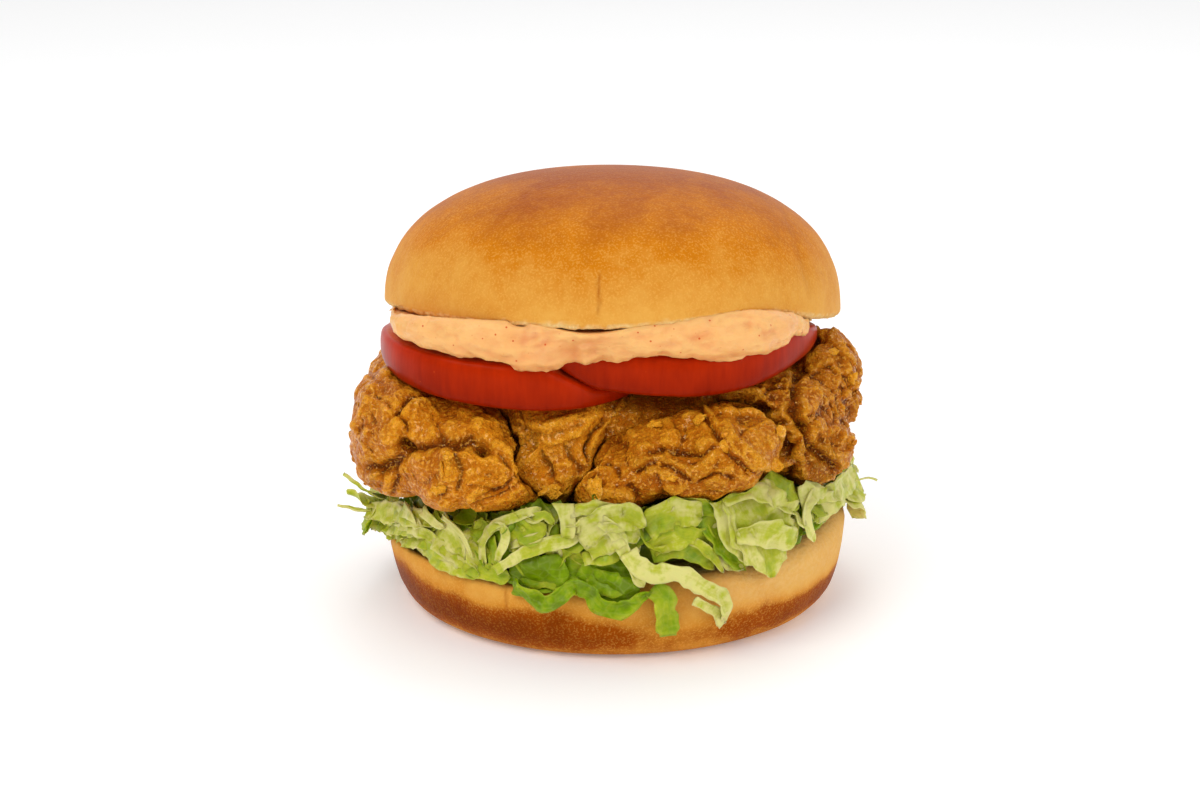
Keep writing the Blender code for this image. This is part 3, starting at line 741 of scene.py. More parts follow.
def crown_point(bun, angle, share, level):
    """A point of the upright crown, and how much it is crumb, how toasted and how cracked it is."""
    lift = crown_lift(angle, share)
    slack = 1.0 - CROWN_SLACK * share * (0.5 - 0.5 * math.cos(angle))
    height = (bun.crown_height * slack - lift) * level
    reach = share * bun.crown_radius * bun_wobble(angle, CROWN_SALT)
    around = outward(angle)
    spot = Vector((reach * around.x, reach * around.y, height))
    front = 1.0 if spot.y < 0.0 else 0.0
    if level > 0.0 and height < CROWN_LIP:
        below = 1.0 - height / CROWN_LIP
        reach -= CROWN_LIP * CROWN_LIP_TUCK * (1.0 - math.sqrt(max(0.0, 1.0 - below ** 2)))
    if level == 0.0 and share > 0.9:
        reach -= CROWN_LIP * CROWN_LIP_TUCK * (share - 0.9) / 0.1
    sway = 0.5 * MM * noise.noise(Vector((0.0, 3.0, height / 0.004)))
    off = (spot.x - CROWN_CRACK_PLACE + sway) / CROWN_CRACK_WIDTH
    crack = front * math.exp(-off * off) * within(height, 2.5 * MM, 5.0 * MM, 11.0 * MM, 13.5 * MM)
    off = (spot.x - CROWN_SEAM_PLACE + CROWN_SEAM_SLANT * height) / CROWN_SEAM_WIDTH
    seam = front * math.exp(-off * off) * eased(height, 2.0 * MM, 9.0 * MM)
    dents = uneven(spot, (0.35 * MM, 0.016), (0.10 * MM, 0.0045))
    reach += dents * share - CROWN_CRACK_DEPTH * crack - CROWN_SEAM_DEPTH * seam
    torn = 0.35 * MM * noise.noise(around * 22.0) + 0.25 * MM * noise.noise(around * 57.0)
    torn *= eased(share, 0.9, 0.97) * (1.0 - eased(height, 0.3 * CROWN_LIP, 1.6 * CROWN_LIP))
    ragged = CROWN_LIP * (0.75 + 0.6 * noise.noise(around * 7.0) + 0.45 * noise.noise(around * 31.0))
    crumb = 1.0 if level == 0.0 else 1.0 - eased(height, 0.55 * ragged, 1.1 * ragged)
    broad = 0.5 * noise.noise(spot / 0.017 + Vector((4.0, 1.0, 0.0))) + uneven(spot, (0.2, 0.007))
    toast = 0.12 + 0.74 * level ** 1.2 + 0.26 * broad * min(1.0, 2.5 * level)
    place = Vector((reach * around.x, reach * around.y, lift + height + torn))
    return place, (crumb, toast, min(1.0, crack + 0.3 * seam))


def bun_half(name, rows, point, poles):
    """A half of the bun: its mesh, with the values that its crust reads."""
    rings = []
    values = []
    for row in rows:
        made = [point(angle, *row) for angle in turns(BUN_SEGMENTS)]
        rings.append([spot for spot, _ in made])
        values += [kept for _, kept in made]
    mesh = shell(name, rings, [spot for spot, _ in poles])
    values += [kept for _, kept in poles]
    for label, numbers in zip(("crumb", "toast", "crack"), zip(*values)):
        keep_value(mesh, label, numbers)
    return mesh


def make_crown(bun):
    """The domed top half of the bun, with a soft lower lip, a fine crack and shallow dents."""
    poles = (
        (Vector((0.0, 0.0, 0.0)), (1.0, 0.0, 0.0)),
        (Vector((0.0, 0.0, bun.crown_height)), (0.0, 0.85, 0.0)),
    )
    mesh = bun_half("Top", crown_rows(), lambda *row: crown_point(bun, *row), poles)
    mesh.transform(Matrix.Translation((0.0, 0.0, bun.crown_seat)) @ crown_tilt(bun).to_4x4())
    stops = (
        (0.0, bun.pale_crust),
        (0.22, Vector(bun.pale_crust).lerp(Vector(bun.golden_crust), 0.45)),
        (0.45, bun.golden_crust),
        (0.85, bun.brown_crust),
    )
    material = crust_material(bun, "Golden crust", stops, 0.09)
    return dressed(linked("Bun.Top", mesh), material, ["bun_crown"])


def heel_rows():
    """Rows (flare, level, whether over the cut face) up the heel's flank, round its rim and in."""
    rows = [(flare, 0.0, False) for flare in HEEL_FOOT_FLARES]
    for i in range(HEEL_FLANK_STEPS + 1):
        turn = HEEL_FLANK_TURN * i / HEEL_FLANK_STEPS
        flare = math.sin(turn) ** (2.0 / HEEL_POWER_OUT)
        level = 1.0 - math.cos(turn) ** (2.0 / HEEL_POWER_UP)
        rows.append((flare, level, False))
    for i in range(1, HEEL_RIM_STEPS + 1):
        bend = 0.5 * math.pi * i / HEEL_RIM_STEPS
        inwards = HEEL_RIM_INSIDE + (flare - HEEL_RIM_INSIDE) * math.cos(bend)
        rows.append((inwards, level + (1.0 - level) * math.sin(bend), True))
    return rows + [(flare, 1.0, True) for flare in HEEL_CUT_FLARES]


def heel_point(bun, angle, flare, level, top):
    """A point of the heel, and how much it is crumb, how toasted and how cracked it is."""
    reach = bun.foot_radius + flare * (heel_reach(bun, angle) - bun.foot_radius)
    if flare < 0.0:
        reach = bun.foot_radius * (1.0 + flare)
    out = outward(angle)
    x = reach * math.cos(angle)
    spot = Vector((x, reach * math.sin(angle), level * heel_top(bun, x)))
    height = spot.z
    dents = uneven(spot, (0.30 * MM, 0.014), (0.10 * MM, 0.004))
    off = (spot.x - HEEL_CRACK_PLACE) / HEEL_CRACK_WIDTH
    crack = math.exp(-off * off) * within(height, 9.5 * MM, 12.0 * MM, 14.5 * MM, 16.0 * MM)
    if spot.y >= 0.0:
        crack = 0.0
    raised = math.exp(-(((angle - RIM_RAISE_ANGLE) / RIM_RAISE_SPREAD) ** 2))
    raised *= eased(level, 0.45, 0.95)
    spot.z += raised * RIM_RAISE * eased(flare, 0.62, 0.95)
    spot += out * raised * RIM_FLARE * eased(flare, HEEL_RIM_INSIDE, 0.95)
    if flare > 0.0 and not top:
        spot += out * (dents * eased(level, 0.0, 0.2) - HEEL_CRACK_DEPTH * crack)
    elif top:
        spot.z += 0.4 * dents - 0.15 * MM * abs(noise.noise(spot / 0.0016))
    front = 1.0 if spot.y < 0.0 else 0.0
    rim = eased(0.80 - flare, 0.0, 0.12) if top else 0.0
    cream = 0.45 * eased(spot.x, 8.0 * MM, 36.0 * MM) * eased(height, 9.0 * MM, 16.0 * MM)
    golden = front * math.exp(-(((spot.x - 14.0 * MM) / (19.0 * MM)) ** 2))
    swayed = height / (1.0 + 0.16 * noise.noise(out * 2.2) + 0.07 * noise.noise(out * 7.0))
    band = eased(height, 1.0 * MM, 6.0 * MM) * (1.0 - eased(swayed, 8.4 * MM, 13.4 * MM))
    low = 1.0 - eased(swayed, 6.0 * MM, 13.0 * MM)
    brown = 0.23 * low * (1.0 - 0.40 * golden) + 0.50 * band * (1.0 - 0.92 * golden)
    pale = 0.10 * eased(spot.x, 15.0 * MM, 45.0 * MM)
    toast = 0.16 - pale + brown + uneven(spot, (0.10, 0.012), (0.07, 0.005))
    return spot, (max(rim, front * cream), toast, crack)


def make_heel(bun):
    """The bottom half of the bun, toasted in a band above its foot, with a pale cut face."""
    poles = (
        (Vector((0.0, 0.0, 0.0)), (0.0, 0.3, 0.0)),
        (Vector((0.0, 0.0, bun.heel_height)), (1.0, 0.0, 0.0)),
    )
    mesh = bun_half("Heel", heel_rows(), lambda *row: heel_point(bun, *row), poles)
    stops = (
        (0.0, bun.pale_crust),
        (0.28, Vector(bun.pale_crust).lerp(Vector(bun.golden_crust), 0.6)),
        (0.52, bun.brown_crust),
        (0.88, bun.dark_crust),
    )
    material = crust_material(bun, "Toasted crust", stops, 0.03)
    return dressed(linked("Bun.Heel", mesh), material, ["bun_heel"])


def tomato_material(filling):
    """Tomato: glossy streaked skin, and moist paler flesh on the cut faces."""
    made, wires, shader = surface(
        "Tomato", 0.33, subsurface_weight=0.08, subsurface_scale=0.0018, coat_roughness=0.16,
        specular_ior_level=0.10, specular_tint=(1.0, 0.42, 0.22, 1.0)
    )
    place = wires.place()
    upright = wires.stretched(place, (1.0, 1.0, 0.16))
    streaks = wires.mottled(upright, 0.0016, 2.6)
    patches = wires.mottled(place, 0.013, 1.8)
    share = wires.plus(wires.times(streaks, 0.26), wires.times(patches, 0.35))
    # Painted shade: the skin darkens towards its lower edge, where the level is low.
    share = wires.plus(share, wires.times(wires.value("level"), 0.6), clamp=True)
    skin = wires.blend(share, filling.tomato_streaks_and_shade, filling.tomato_skin)
    spots = wires.specked(place, 0.0032, 0.07, 0.35)
    skin = wires.blend(wires.times(spots, 0.55), skin, filling.tomato_flesh)
    fibre = wires.mottled(place, 0.0022, 3.0)
    flesh = wires.blend(wires.times(fibre, 0.5), filling.tomato_flesh, filling.tomato_skin)
    cut = wires.value("cut")
    wires.feed(shader["Base Color"], wires.blend(cut, skin, flesh))
    wires.feed(shader["Coat Weight"], wires.span(cut, 0.0, 1.0, 0.04, 0.15))
    grain = wires.grained(upright, 0.0012, 0.0)
    wet = wires.grained(place, 0.0016, 0.4)
    height = wires.plus(wires.times(grain, 0.35), wires.times(wet, cut))
    bumped(wires, shader, height, 0.0001)
    return made


def slice_droop(y):
    """How far the slices sag towards the front and the back."""
    return SLICE_DROOP * (y - SLICE_CREST) ** 2


def left_underside(x, y):
    """Height of the left slice's underside, which drops a little towards the right."""
    return LEFT_SLICE_UNDERSIDE - 0.05 * (x + 0.022) - slice_droop(y)


def left_top(filling, x, y):
    """The left slice is thick at the front left and thin where the right slice presses on it."""
    share = min(1.0, max(0.0, (-0.003 - x) / 0.0145))
    grown = 0.5 * share + 0.5 * share * share * (3.0 - 2.0 * share)
    thin, thick = filling.left_slice_thin, filling.left_slice_thick
    thickness = thin + (thick - thin) * grown - 0.1 * max(0.0, x + 0.007)
    thickness -= grown * min(SLICE_TAPER_MOST, SLICE_TAPER * max(0.0, y + 0.049))
    return left_underside(x, y) + thickness


def right_underside(filling, x, y):
    """Height of the right slice's underside, which drapes over the left slice."""
    on_left = left_top(filling, x, y) + SLICE_GAP
    on_chicken = RIGHT_SLICE_UNDERSIDE + 1.5 * max(0.0, x - 0.020) ** 2 - slice_droop(y)
    if x >= LEFT_SLICE_END:
        return on_chicken
    return 0.5 * (on_left + on_chicken + math.hypot(on_left - on_chicken, SLICE_BEND))


def slice_rows():
    """Rows (share of the radius, level, how much they are cut face) out, up the skin and in."""
    rows = [(share, 0.0) for share in SLICE_CUT_SHARES]
    for i in range(SLICE_EDGE_STEPS + 1):
        turn = math.pi * (i / SLICE_EDGE_STEPS - 0.5)
        out = 1.0 - SLICE_EDGE + SLICE_EDGE * math.cos(turn) ** 0.62
        rows.append((out, 0.5 + 0.5 * math.copysign(abs(math.sin(turn)) ** 0.8, turn)))
    rows += [(share, 1.0) for share in reversed(SLICE_CUT_SHARES)]
    return [(share, level, 1.0 - eased(share, 0.945, 0.965)) for share, level in rows]


def make_slice(name, node, centre, radius, bulge, underside, top, bun, material):
    """A tomato slice with a full, rounded skin edge."""

    def place(angle, share, level):
        lobes = 1.0 + 0.012 * math.sin(5.0 * angle + 1.0) + 0.008 * math.sin(2.0 * angle + 0.6)
        lobes += 0.0035 * noise.noise(Vector((6.0 * math.cos(angle), 6.0 * math.sin(angle), radius * 1000.0)))
        off = math.remainder(angle - SLICE_BULGE_ANGLE, 2.0 * math.pi) / SLICE_BULGE_SPREAD
        reach = share * (radius * lobes + bulge * math.exp(-off * off))
        x = centre.x + reach * math.cos(angle)
        y = centre.y + reach * math.sin(angle)
        low = underside(x, y)
        high = min(top(x, y), crown_underside(bun, x, y) - SLICE_SAUCE)
        return Vector((x, y, low + (high - low) * level))

    rows = slice_rows()
    rings = [[place(angle, share, level) for angle in turns(SLICE_SEGMENTS)] for share, level, _ in rows]
    mesh = shell(name, rings, (place(0.0, 0.0, 0.0), place(0.0, 0.0, 1.0)))
    keep_value(mesh, "cut", [face for *_, face in rows for _ in range(SLICE_SEGMENTS)] + [1.0, 1.0])
    keep_value(mesh, "level", [level for _, level, _ in rows for _ in range(SLICE_SEGMENTS)] + [0.0, 1.0])
    return dressed(linked(name, mesh), material, [node])


def make_tomatoes(bun, filling):
    """Both tomato slices."""
    material = tomato_material(filling)
    make_slice(
        "Tomato.Left", "tomato_left", LEFT_SLICE_CENTRE, filling.left_slice_radius, 0.0,
        left_underside, lambda x, y: left_top(filling, x, y), bun, material,
    )
    make_slice(
        "Tomato.Right", "tomato_right", RIGHT_SLICE_CENTRE, filling.right_slice_radius, SLICE_BULGE,
        lambda x, y: right_underside(filling, x, y),
        lambda x, y: right_underside(filling, x, y) + filling.right_slice_thickness + 0.12 * min(0.0, x),
        bun, material,
    )


def sauce_material(filling):
    """Sauce: creamy and moist, blushing where it is thin, with small specks of spice."""
    made, wires, shader = surface(
        "Cream sauce", 0.34, subsurface_weight=0.35, subsurface_scale=0.0022, coat_roughness=0.2,
        specular_ior_level=0.22, specular_tint=(1.0, 0.85, 0.6, 1.0)
    )
    shader["Subsurface Radius"].default_value = (1.0, 0.5, 0.25)
    place = wires.place()
    along = wires.stretched(place, (0.45, 0.45, 1.0))
    streaks = wires.mottled(along, 0.0035, 2.4)
    patches = wires.mottled(place, 0.009, 2.2)
    share = wires.times(wires.plus(streaks, patches), 0.36)
    share = wires.less(share, wires.times(wires.value("ridge"), 0.25), clamp=True)
    colour = wires.blend(share, filling.sauce_cream, filling.sauce_blush)
    spice = wires.specked(place, 0.0026, 0.12, 0.8)
    dust = wires.specked(place, 0.0014, 0.13, 0.35)
    colour = wires.blend(wires.times(spice, 0.85), colour, filling.sauce_specks)
    colour = wires.blend(wires.times(dust, 0.4), colour, filling.sauce_specks)
    wires.feed(shader["Base Color"], colour)
    wires.feed(shader["Coat Weight"], wires.span(patches, 0.55, 0.9, 0.1, 0.7))
    grain = wires.grained(along, 0.0017, 0.15)
    folds = wires.grained(along, 0.0045, 0.3)
    bumped(wires, shader, wires.plus(grain, wires.times(folds, 2.5)), 0.0004)
    return made


# The sauce's lower lip in the photograph, in its pixels.
SAUCE_LIP = (
    (379, 312), (387, 324), (399, 336), (412, 343), (428, 347), (444, 352), (458, 356), (474, 357),
    (487, 361), (502, 362), (516, 368), (530, 369), (546, 373), (556, 368), (566, 361), (575, 359),
    (585, 364), (594, 361), (604, 360), (620, 361), (634, 357), (648, 358), (663, 355), (678, 358),
    (692, 356), (708, 359), (726, 361), (746, 356), (766, 352), (778, 347), (786, 346), (792, 337),
    (804, 334), (807, 324),
)


def edge_of(across, down, chosen, percent):
    """The upper (percent 0) or lower (100) edge of the chosen points, read at every point's column."""
    columns = []
    levels = []
    for column in SAUCE_COLUMNS:
        near = chosen & (np.abs(across - column) < SAUCE_COLUMN_REACH)
        if near.sum() > 4:
            columns.append(column)
            levels.append(np.percentile(down[near], percent))
    return np.interp(across, columns, levels)


def clear_of_slices(points, least):
    """Moves points out of the tomato slices, to a least distance from their skins."""
    for name in ("Tomato.Left", "Tomato.Right"):
        tree = tree_over([bpy.data.objects[name].data])
        for i, row in enumerate(points.tolist()):
            spot = Vector(row)
            near, normal, _, _ = tree.find_nearest(spot, 3.0 * MM)
            if near is not None and (spot - near).dot(normal) < least[i]:
                points[i] = near + normal * least[i]
    return points


def drawn_to_lip(bun, points, outer):
    """Pulls the sauce's front up to the crown, out to its brim and down to the photograph's lip.

    Gives the points, each one's share of the way down the front, and the height it may reach.
    """
    across, down, _ = on_photo(points)
    upper = edge_of(across, down, outer > 0.6, 2)
    lower = edge_of(across, down, outer > 0.6, 98)
    share = np.clip((down - upper) / np.maximum(lower - upper, 1.0), 0.0, 1.0)
    lip = np.interp(across, *zip(*SAUCE_LIP))
    drop = share * (lip - lower) / (PIXELS_PER_MM * math.cos(CAMERA_ELEVATION)) * MM
    underside = np.array([crown_underside(bun, x, y) for x, y, _ in points.tolist()])
    notch = np.exp(-(((across - SAUCE_NOTCH_COLUMN) / SAUCE_NOTCH_WIDTH) ** 2))
    ceiling = underside + (1.3 - 1.5 * notch) * MM
    lift = (1.0 - share) ** 2 * np.maximum(ceiling - points[:, 2], 0.0)
    points[:, 2] += outer * (np.minimum(lift, SAUCE_MOST_LIFT) - drop)
    turned = np.arctan2(points[:, 1], points[:, 0])
    reach = np.hypot(points[:, 0], points[:, 1])
    wobble = np.array([bun_wobble(angle, CROWN_SALT) for angle in turned.tolist()])
    brim = SAUCE_BRIM * bun.crown_radius * wobble - 0.3 * MM
    out = outer * (1.0 - eased(share, 0.15, 0.75)) * np.maximum(brim - reach, 0.0)
    points[:, :2] *= (1.0 + np.minimum(out, SAUCE_MOST_OUT) / reach)[:, None]
    past = points[:, 0] - np.clip(points[:, 0], -SAUCE_LEFT_END, SAUCE_RIGHT_END)
    points[:, 0] -= 0.75 * outer * past
    return points, share, ceiling


def make_sauce(bun, filling, quick):
    """Thick sauce with ridges left by the spreading knife, and the lip that the photograph shows."""
    piece = recast("Sauce", "sauce", SAUCE_QUICK_CELL if quick else SAUCE_CELL)
    mesh = piece.data
    points = relaxed(mesh, read_points(mesh), 4)
    write_points(mesh, points)
    normals = read_normals(mesh)
    outer = eased(-normals[:, 1] + 0.4 * np.abs(normals[:, 0]), -0.2, 0.5)
    outer = outer * eased(-points[:, 1], 4.0 * MM, 14.0 * MM)
    points, share, ceiling = drawn_to_lip(bun, points, outer)
    bent = warped(points, 0.011, 0.003, 5.0)
    ridges = 1.0 - 2.0 * np.abs(noise_at(bent * np.array((0.32, 0.32, 1.0)), 0.0021, 3.0))
    push = SAUCE_RIDGES * ridges + SAUCE_SWELLS * noise_at(bent, 0.006, 8.0)
    push += SAUCE_GRAIN * noise_at(points, 0.0016, 1.0)
    push = outer * (SAUCE_FULLNESS * np.sin(math.pi * share) + push)
    under = eased(normals[:, 2], 0.5, 0.9)
    points = points + normals * (push * (1.0 - under))[:, None]
    least = np.where(outer > 0.1, (0.12 + 0.7 * (1.0 - share ** 4)) * MM, 0.05 * MM)
    points = clear_of_slices(points, least)
    points[:, 2] = np.minimum(points[:, 2], ceiling + 0.1 * MM)
    write_points(mesh, points)
    keep_value(mesh, "ridge", relief(mesh, 8, 0.25 * MM))
    return dressed(piece, sauce_material(filling), ["sauce"])


def chicken_material(chicken):
    """Fried coating: painted shade in the folds, bright on thin raised edges with a partly painted highlight,
    patchy gold and brown between.
    """
    made, wires, shader = surface(
        "Fried coating", 0.45, subsurface_weight=0.10, subsurface_scale=0.0015, coat_roughness=0.18,
        specular_ior_level=0.22, specular_tint=(1.0, 0.62, 0.28, 1.0)
    )
    shader["Subsurface Radius"].default_value = (1.0, 0.4, 0.12)
    place = wires.place()
    patches = wires.mottled(place, 0.008, 3.6)
    small = wires.mottled(place, 0.0018, 2.8)
    ridge = wires.value("ridge")
    share = wires.plus(wires.times(patches, 0.55), wires.times(small, 0.25))
    # Colour from the relief: ridges gold and lighter, partly a painted highlight; hollows browner and darker,
    # painted shade.
    share = wires.plus(share, wires.times(ridge, 0.3), clamp=True)
    colour = wires.blend(share, chicken.coating_brown, chicken.coating_gold)
    colour = wires.blend(wires.span(ridge, 0.2, 1.0, 0.0, 0.6), colour, chicken.coating_bright)
    colour = wires.blend(wires.span(ridge, -0.12, -0.9, 0.0, 0.75), colour, chicken.coating_fold_shade)
    colour = wires.blend(wires.times(wires.value("crisp"), 0.8), colour, chicken.coating_bright)
    # Painted shade where the shade value says: deep folds, valleys between the pieces and darkened spots.
    colour = wires.blend(wires.value("shade"), colour, chicken.coating_fold_shade)
    crumbs = wires.mottled(place, 0.0008, 4.0)
    colour = wires.blend(wires.span(crumbs, 0.62, 1.0, 0.0, 0.50), colour, chicken.coating_bright)
    colour = wires.blend(wires.span(crumbs, 0.38, 0.0, 0.0, 0.45), colour, chicken.coating_brown)
    wires.feed(shader["Base Color"], colour)
    wires.feed(shader["Roughness"], wires.span(small, 0.1, 0.9, 0.50, 0.32))
    wires.feed(shader["Coat Weight"], wires.span(crumbs, 0.55, 0.95, 0.0, 0.6))
    grain = wires.grained(place, 0.0010, 0.35)
    coarse = wires.grained(place, 0.0024, 0.5)
    height = wires.plus(grain, wires.times(coarse, 1.6))
    height = wires.plus(height, wires.times(crumbs, 0.7))
    bumped(wires, shader, height, 0.00052)
    return made


# Folds of the coating seen in the photograph: kind, width and depth in millimetres, and the
# route in the photograph's pixels. A step is high on the left of its route.
FOLDS = {
    "chicken_left": (
        ("groove", 1.5, 2.2, ((404, 446), (424, 444), (440, 437), (456, 441), (471, 436), (484, 447))),
        ("groove", 1.2, 1.5, ((404, 446), (396, 462), (382, 470), (368, 468))),
        ("groove", 0.9, 1.1, ((484, 447), (500, 452), (514, 466), (522, 480))),
        ("step", 2.2, 1.0, ((476, 412), (452, 400), (432, 396), (412, 398), (398, 412))),
        ("groove", 0.8, 0.9, ((398, 412), (408, 424), (404, 440))),
        ("ridge", 1.1, 0.9, ((444, 452), (447, 468), (440, 484), (430, 494))),
        ("groove", 0.7, 0.8, ((455, 452), (462, 470), (458, 490))),
        ("groove", 0.5, 0.7, ((470, 506), (500, 498), (524, 482))),
        ("groove", 0.5, 0.6, ((478, 499), (503, 489), (521, 474))),
        ("groove", 0.7, 0.8, ((376, 470), (380, 486), (378, 500))),
        ("groove", 0.7, 0.8, ((392, 468), (396, 484), (392, 498))),
        ("groove", 0.5, 0.5, ((366, 392), (384, 400), (396, 412))),
    ),
    "chicken_middle": (
        ("step", 2.4, 1.2, ((612, 412), (604, 426), (594, 434), (588, 448))),
        ("groove", 0.8, 0.6, ((500, 415), (520, 432), (552, 436), (580, 424))),
        ("ridge", 1.2, 0.6, ((520, 424), (545, 428), (575, 417))),
        ("groove", 0.8, 0.8, ((536, 452), (552, 470), (556, 484))),
        ("groove", 0.7, 0.6, ((566, 446), (574, 466), (572, 486))),
    ),
    "chicken_front": (
        ("step", 2.2, 1.1, ((706, 414), (718, 430), (732, 452), (752, 470), (776, 472))),
        ("groove", 0.9, 1.3, ((650, 452), (664, 446), (684, 450), (700, 456), (712, 446))),
        ("groove", 0.7, 1.0, ((638, 470), (652, 462), (672, 468), (690, 482))),
        ("ridge", 1.2, 0.8, ((604, 452), (622, 440), (645, 430), (680, 418), (704, 414))),
        ("groove", 0.8, 0.9, ((630, 484), (640, 498), (636, 506))),
        ("ridge", 1.0, 0.9, ((726, 424), (742, 444), (762, 462))),
        ("groove", 0.7, 1.0, ((700, 482), (714, 474), (732, 478))),
    ),
    "chicken_right": (
        ("groove", 1.2, 2.0, ((798, 372), (796, 392), (800, 412), (806, 430))),
        ("groove", 1.1, 1.8, ((806, 430), (812, 448), (826, 460), (836, 470))),
        ("groove", 1.0, 1.5, ((746, 404), (756, 414), (768, 418), (782, 412))),
        ("ridge", 1.0, 1.2, ((732, 398), (738, 412), (752, 422))),
        ("ridge", 1.0, 1.0, ((764, 398), (778, 404), (784, 416))),
        ("groove", 0.8, 1.3, ((784, 440), (792, 456), (790, 474))),
        ("ridge", 0.9, 1.0, ((800, 452), (804, 470), (808, 486))),
    ),
}
COATING_ROUGHNESS = {
    "chicken_left": 0.50,
    "chicken_middle": 0.35,
    "chicken_front": 0.65,
    "chicken_right": 1.20,
}
COATING_SHADE = {
    "chicken_left": 0.0,
    "chicken_middle": 0.0,
    "chicken_front": 0.11,
    "chicken_right": 0.14,
}
# Where the photograph's coating is darker (below nought), painted as shade, or brighter: centre
# and half widths in its pixels, and how much.
COATING_TONES = (
    (612, 440, 12, 26, -0.50), (640, 408, 40, 9, -0.50), (822, 462, 16, 22, -0.55), (795, 405, 7, 30, -0.50),
    (478, 447, 14, 6, -0.55), (412, 448, 18, 6, -0.45), (372, 474, 8, 22, -0.35), (534, 492, 8, 14, -0.50),
    (650, 460, 20, 8, -0.30), (696, 452, 14, 9, -0.25), (806, 488, 24, 8, -0.40), (548, 506, 26, 5, -0.35),
    (700, 478, 50, 20, -0.16), (430, 400, 20, 6, -0.20), (640, 495, 26, 14, -0.15),
    (758, 450, 12, 22, 0.45), (452, 468, 12, 16, 0.35), (545, 440, 42, 26, 0.45), (590, 418, 20, 8, 0.20),
    (640, 436, 30, 8, 0.25), (380, 415, 16, 26, 0.12), (860, 376, 8, 9, 0.30), (745, 398, 12, 9, 0.20),
    (608, 462, 10, 16, 0.25), (498, 470, 14, 12, 0.15),
)
# Thin crisp flakes that stand off the coating: place in the photograph's pixels and size in
# millimetres.
CRISP_FLAKES = (
    (596, 488, 4.2, 5.6), (552, 490, 6.0, 3.4), (774, 464, 3.6, 4.6), (443, 470, 2.6, 4.6),
    (436, 490, 3.4, 2.4), (700, 420, 3.4, 2.6), (724, 446, 2.6, 5.0), (655, 425, 4.0, 2.2),
    (448, 456, 2.4, 2.0), (810, 368, 2.6, 3.0), (780, 432, 3.0, 3.2), (852, 378, 2.6, 3.0),
    (832, 352, 2.8, 2.4), (742, 402, 2.2, 3.4), (672, 478, 2.4, 1.6),
)


def tone_at(places, points):
    """Sum of the soft spots of a list of places in the photograph, at each point in front."""
    across, down, _ = on_photo(points)
    total = np.zeros(len(points))
    for column, line, wide, high, amount in places:
        total += amount * np.exp(-(((across - column) / wide) ** 2) - ((down - line) / high) ** 2)
    return total * eased(-points[:, 1], FRONT_START, FRONT_FULL)


def fold_relief(folds, points, normals):
    """Height that the folds add to each point that faces the camera."""
    across, down, _ = on_photo(points)
    towards = np.array(CAMERA_PLACE) - points
    towards /= np.linalg.norm(towards, axis=1)[:, None]
    facing = eased(np.einsum("ij,ij->i", normals, towards), 0.0, 0.35)
    facing *= eased(-points[:, 1], FRONT_START, FRONT_FULL)
    total = np.zeros(len(points))
    for kind, width, depth, route in folds:
        best = np.full(len(points), 1e9)
        side = np.zeros(len(points))
        for (x0, y0), (x1, y1) in zip(route, route[1:]):
            run_x, run_y = x1 - x0, y1 - y0
            share = ((across - x0) * run_x + (down - y0) * run_y) / (run_x ** 2 + run_y ** 2)
            held = np.clip(share, 0.0, 1.0)
            off_x = across - (x0 + held * run_x)
            off_y = down - (y0 + held * run_y)
            apart = np.hypot(off_x, off_y) / PIXELS_PER_MM
            nearer = apart < best
            best = np.where(nearer, apart, best)
            side = np.where(nearer, np.sign(run_x * off_y - run_y * off_x), side)
        if kind == "groove":
            total -= depth * np.exp(-((best / width) ** 2))
        elif kind == "ridge":
            total += depth * np.exp(-((best / width) ** 2))
        else:
            signed = -side * best
            rise = eased(signed, -0.35, 0.35) * np.exp(-np.maximum(signed, 0.0) / (1.6 * width))
            total += depth * (rise - 0.6 * np.exp(-((signed + 0.6) / 0.7) ** 2))
    return total * facing * MM


def coating_relief(node, chicken, points, normals):
    """How far the coating stands out at each point: lumps, crags, flaps, wrinkles and folds."""
    salt = 3.0 * sorted(FOLDS).index(node)
    rough = COATING_ROUGHNESS[node]
    bent = warped(points, 0.010, 0.0030, salt)
    lumps = puffs_at(bent, chicken.lump_size, salt)
    crinkled = warped(points, 0.004, 0.0018, salt + 4.0)
    crags = puffs_at(crinkled, chicken.crag_size, salt + 2.0)
    flaps = eased(noise_at(bent, 0.0095, salt + 11.0), -0.02, 0.05)
    layers = eased(noise_at(crinkled, 0.0062, salt + 17.0), 0.06, 0.12)
    wrinkles = 1.0 - 2.0 * np.abs(noise_at(bent * np.array((1.0, 1.0, 1.9)), 0.0046, salt + 6.0))
    fine = noise_at(crinkled, 0.0014, salt)
    patchy = eased(noise_at(points, 0.012, salt + 1.0), -0.35, 0.30)
    push = (lumps - 0.45) * (0.6 + 0.55 * rough) + (crags - 0.45) * 0.85 * rough * (0.2 + 0.8 * patchy)
    push += (0.5 + 0.35 * rough) * (flaps - 0.5) + (0.25 + 0.35 * rough) * (layers - 0.4)
    push += (0.14 + 0.16 * rough) * wrinkles + 0.18 * fine * (0.3 + rough)
    push = push * MM + FOLD_STRENGTH * fold_relief(FOLDS[node], points, normals)
    under = eased(-normals[:, 2], 0.45, 0.85)
    return np.where(under > 0.0, np.minimum(push, (1.0 - under) * UNDERSIDE_RELIEF), push)


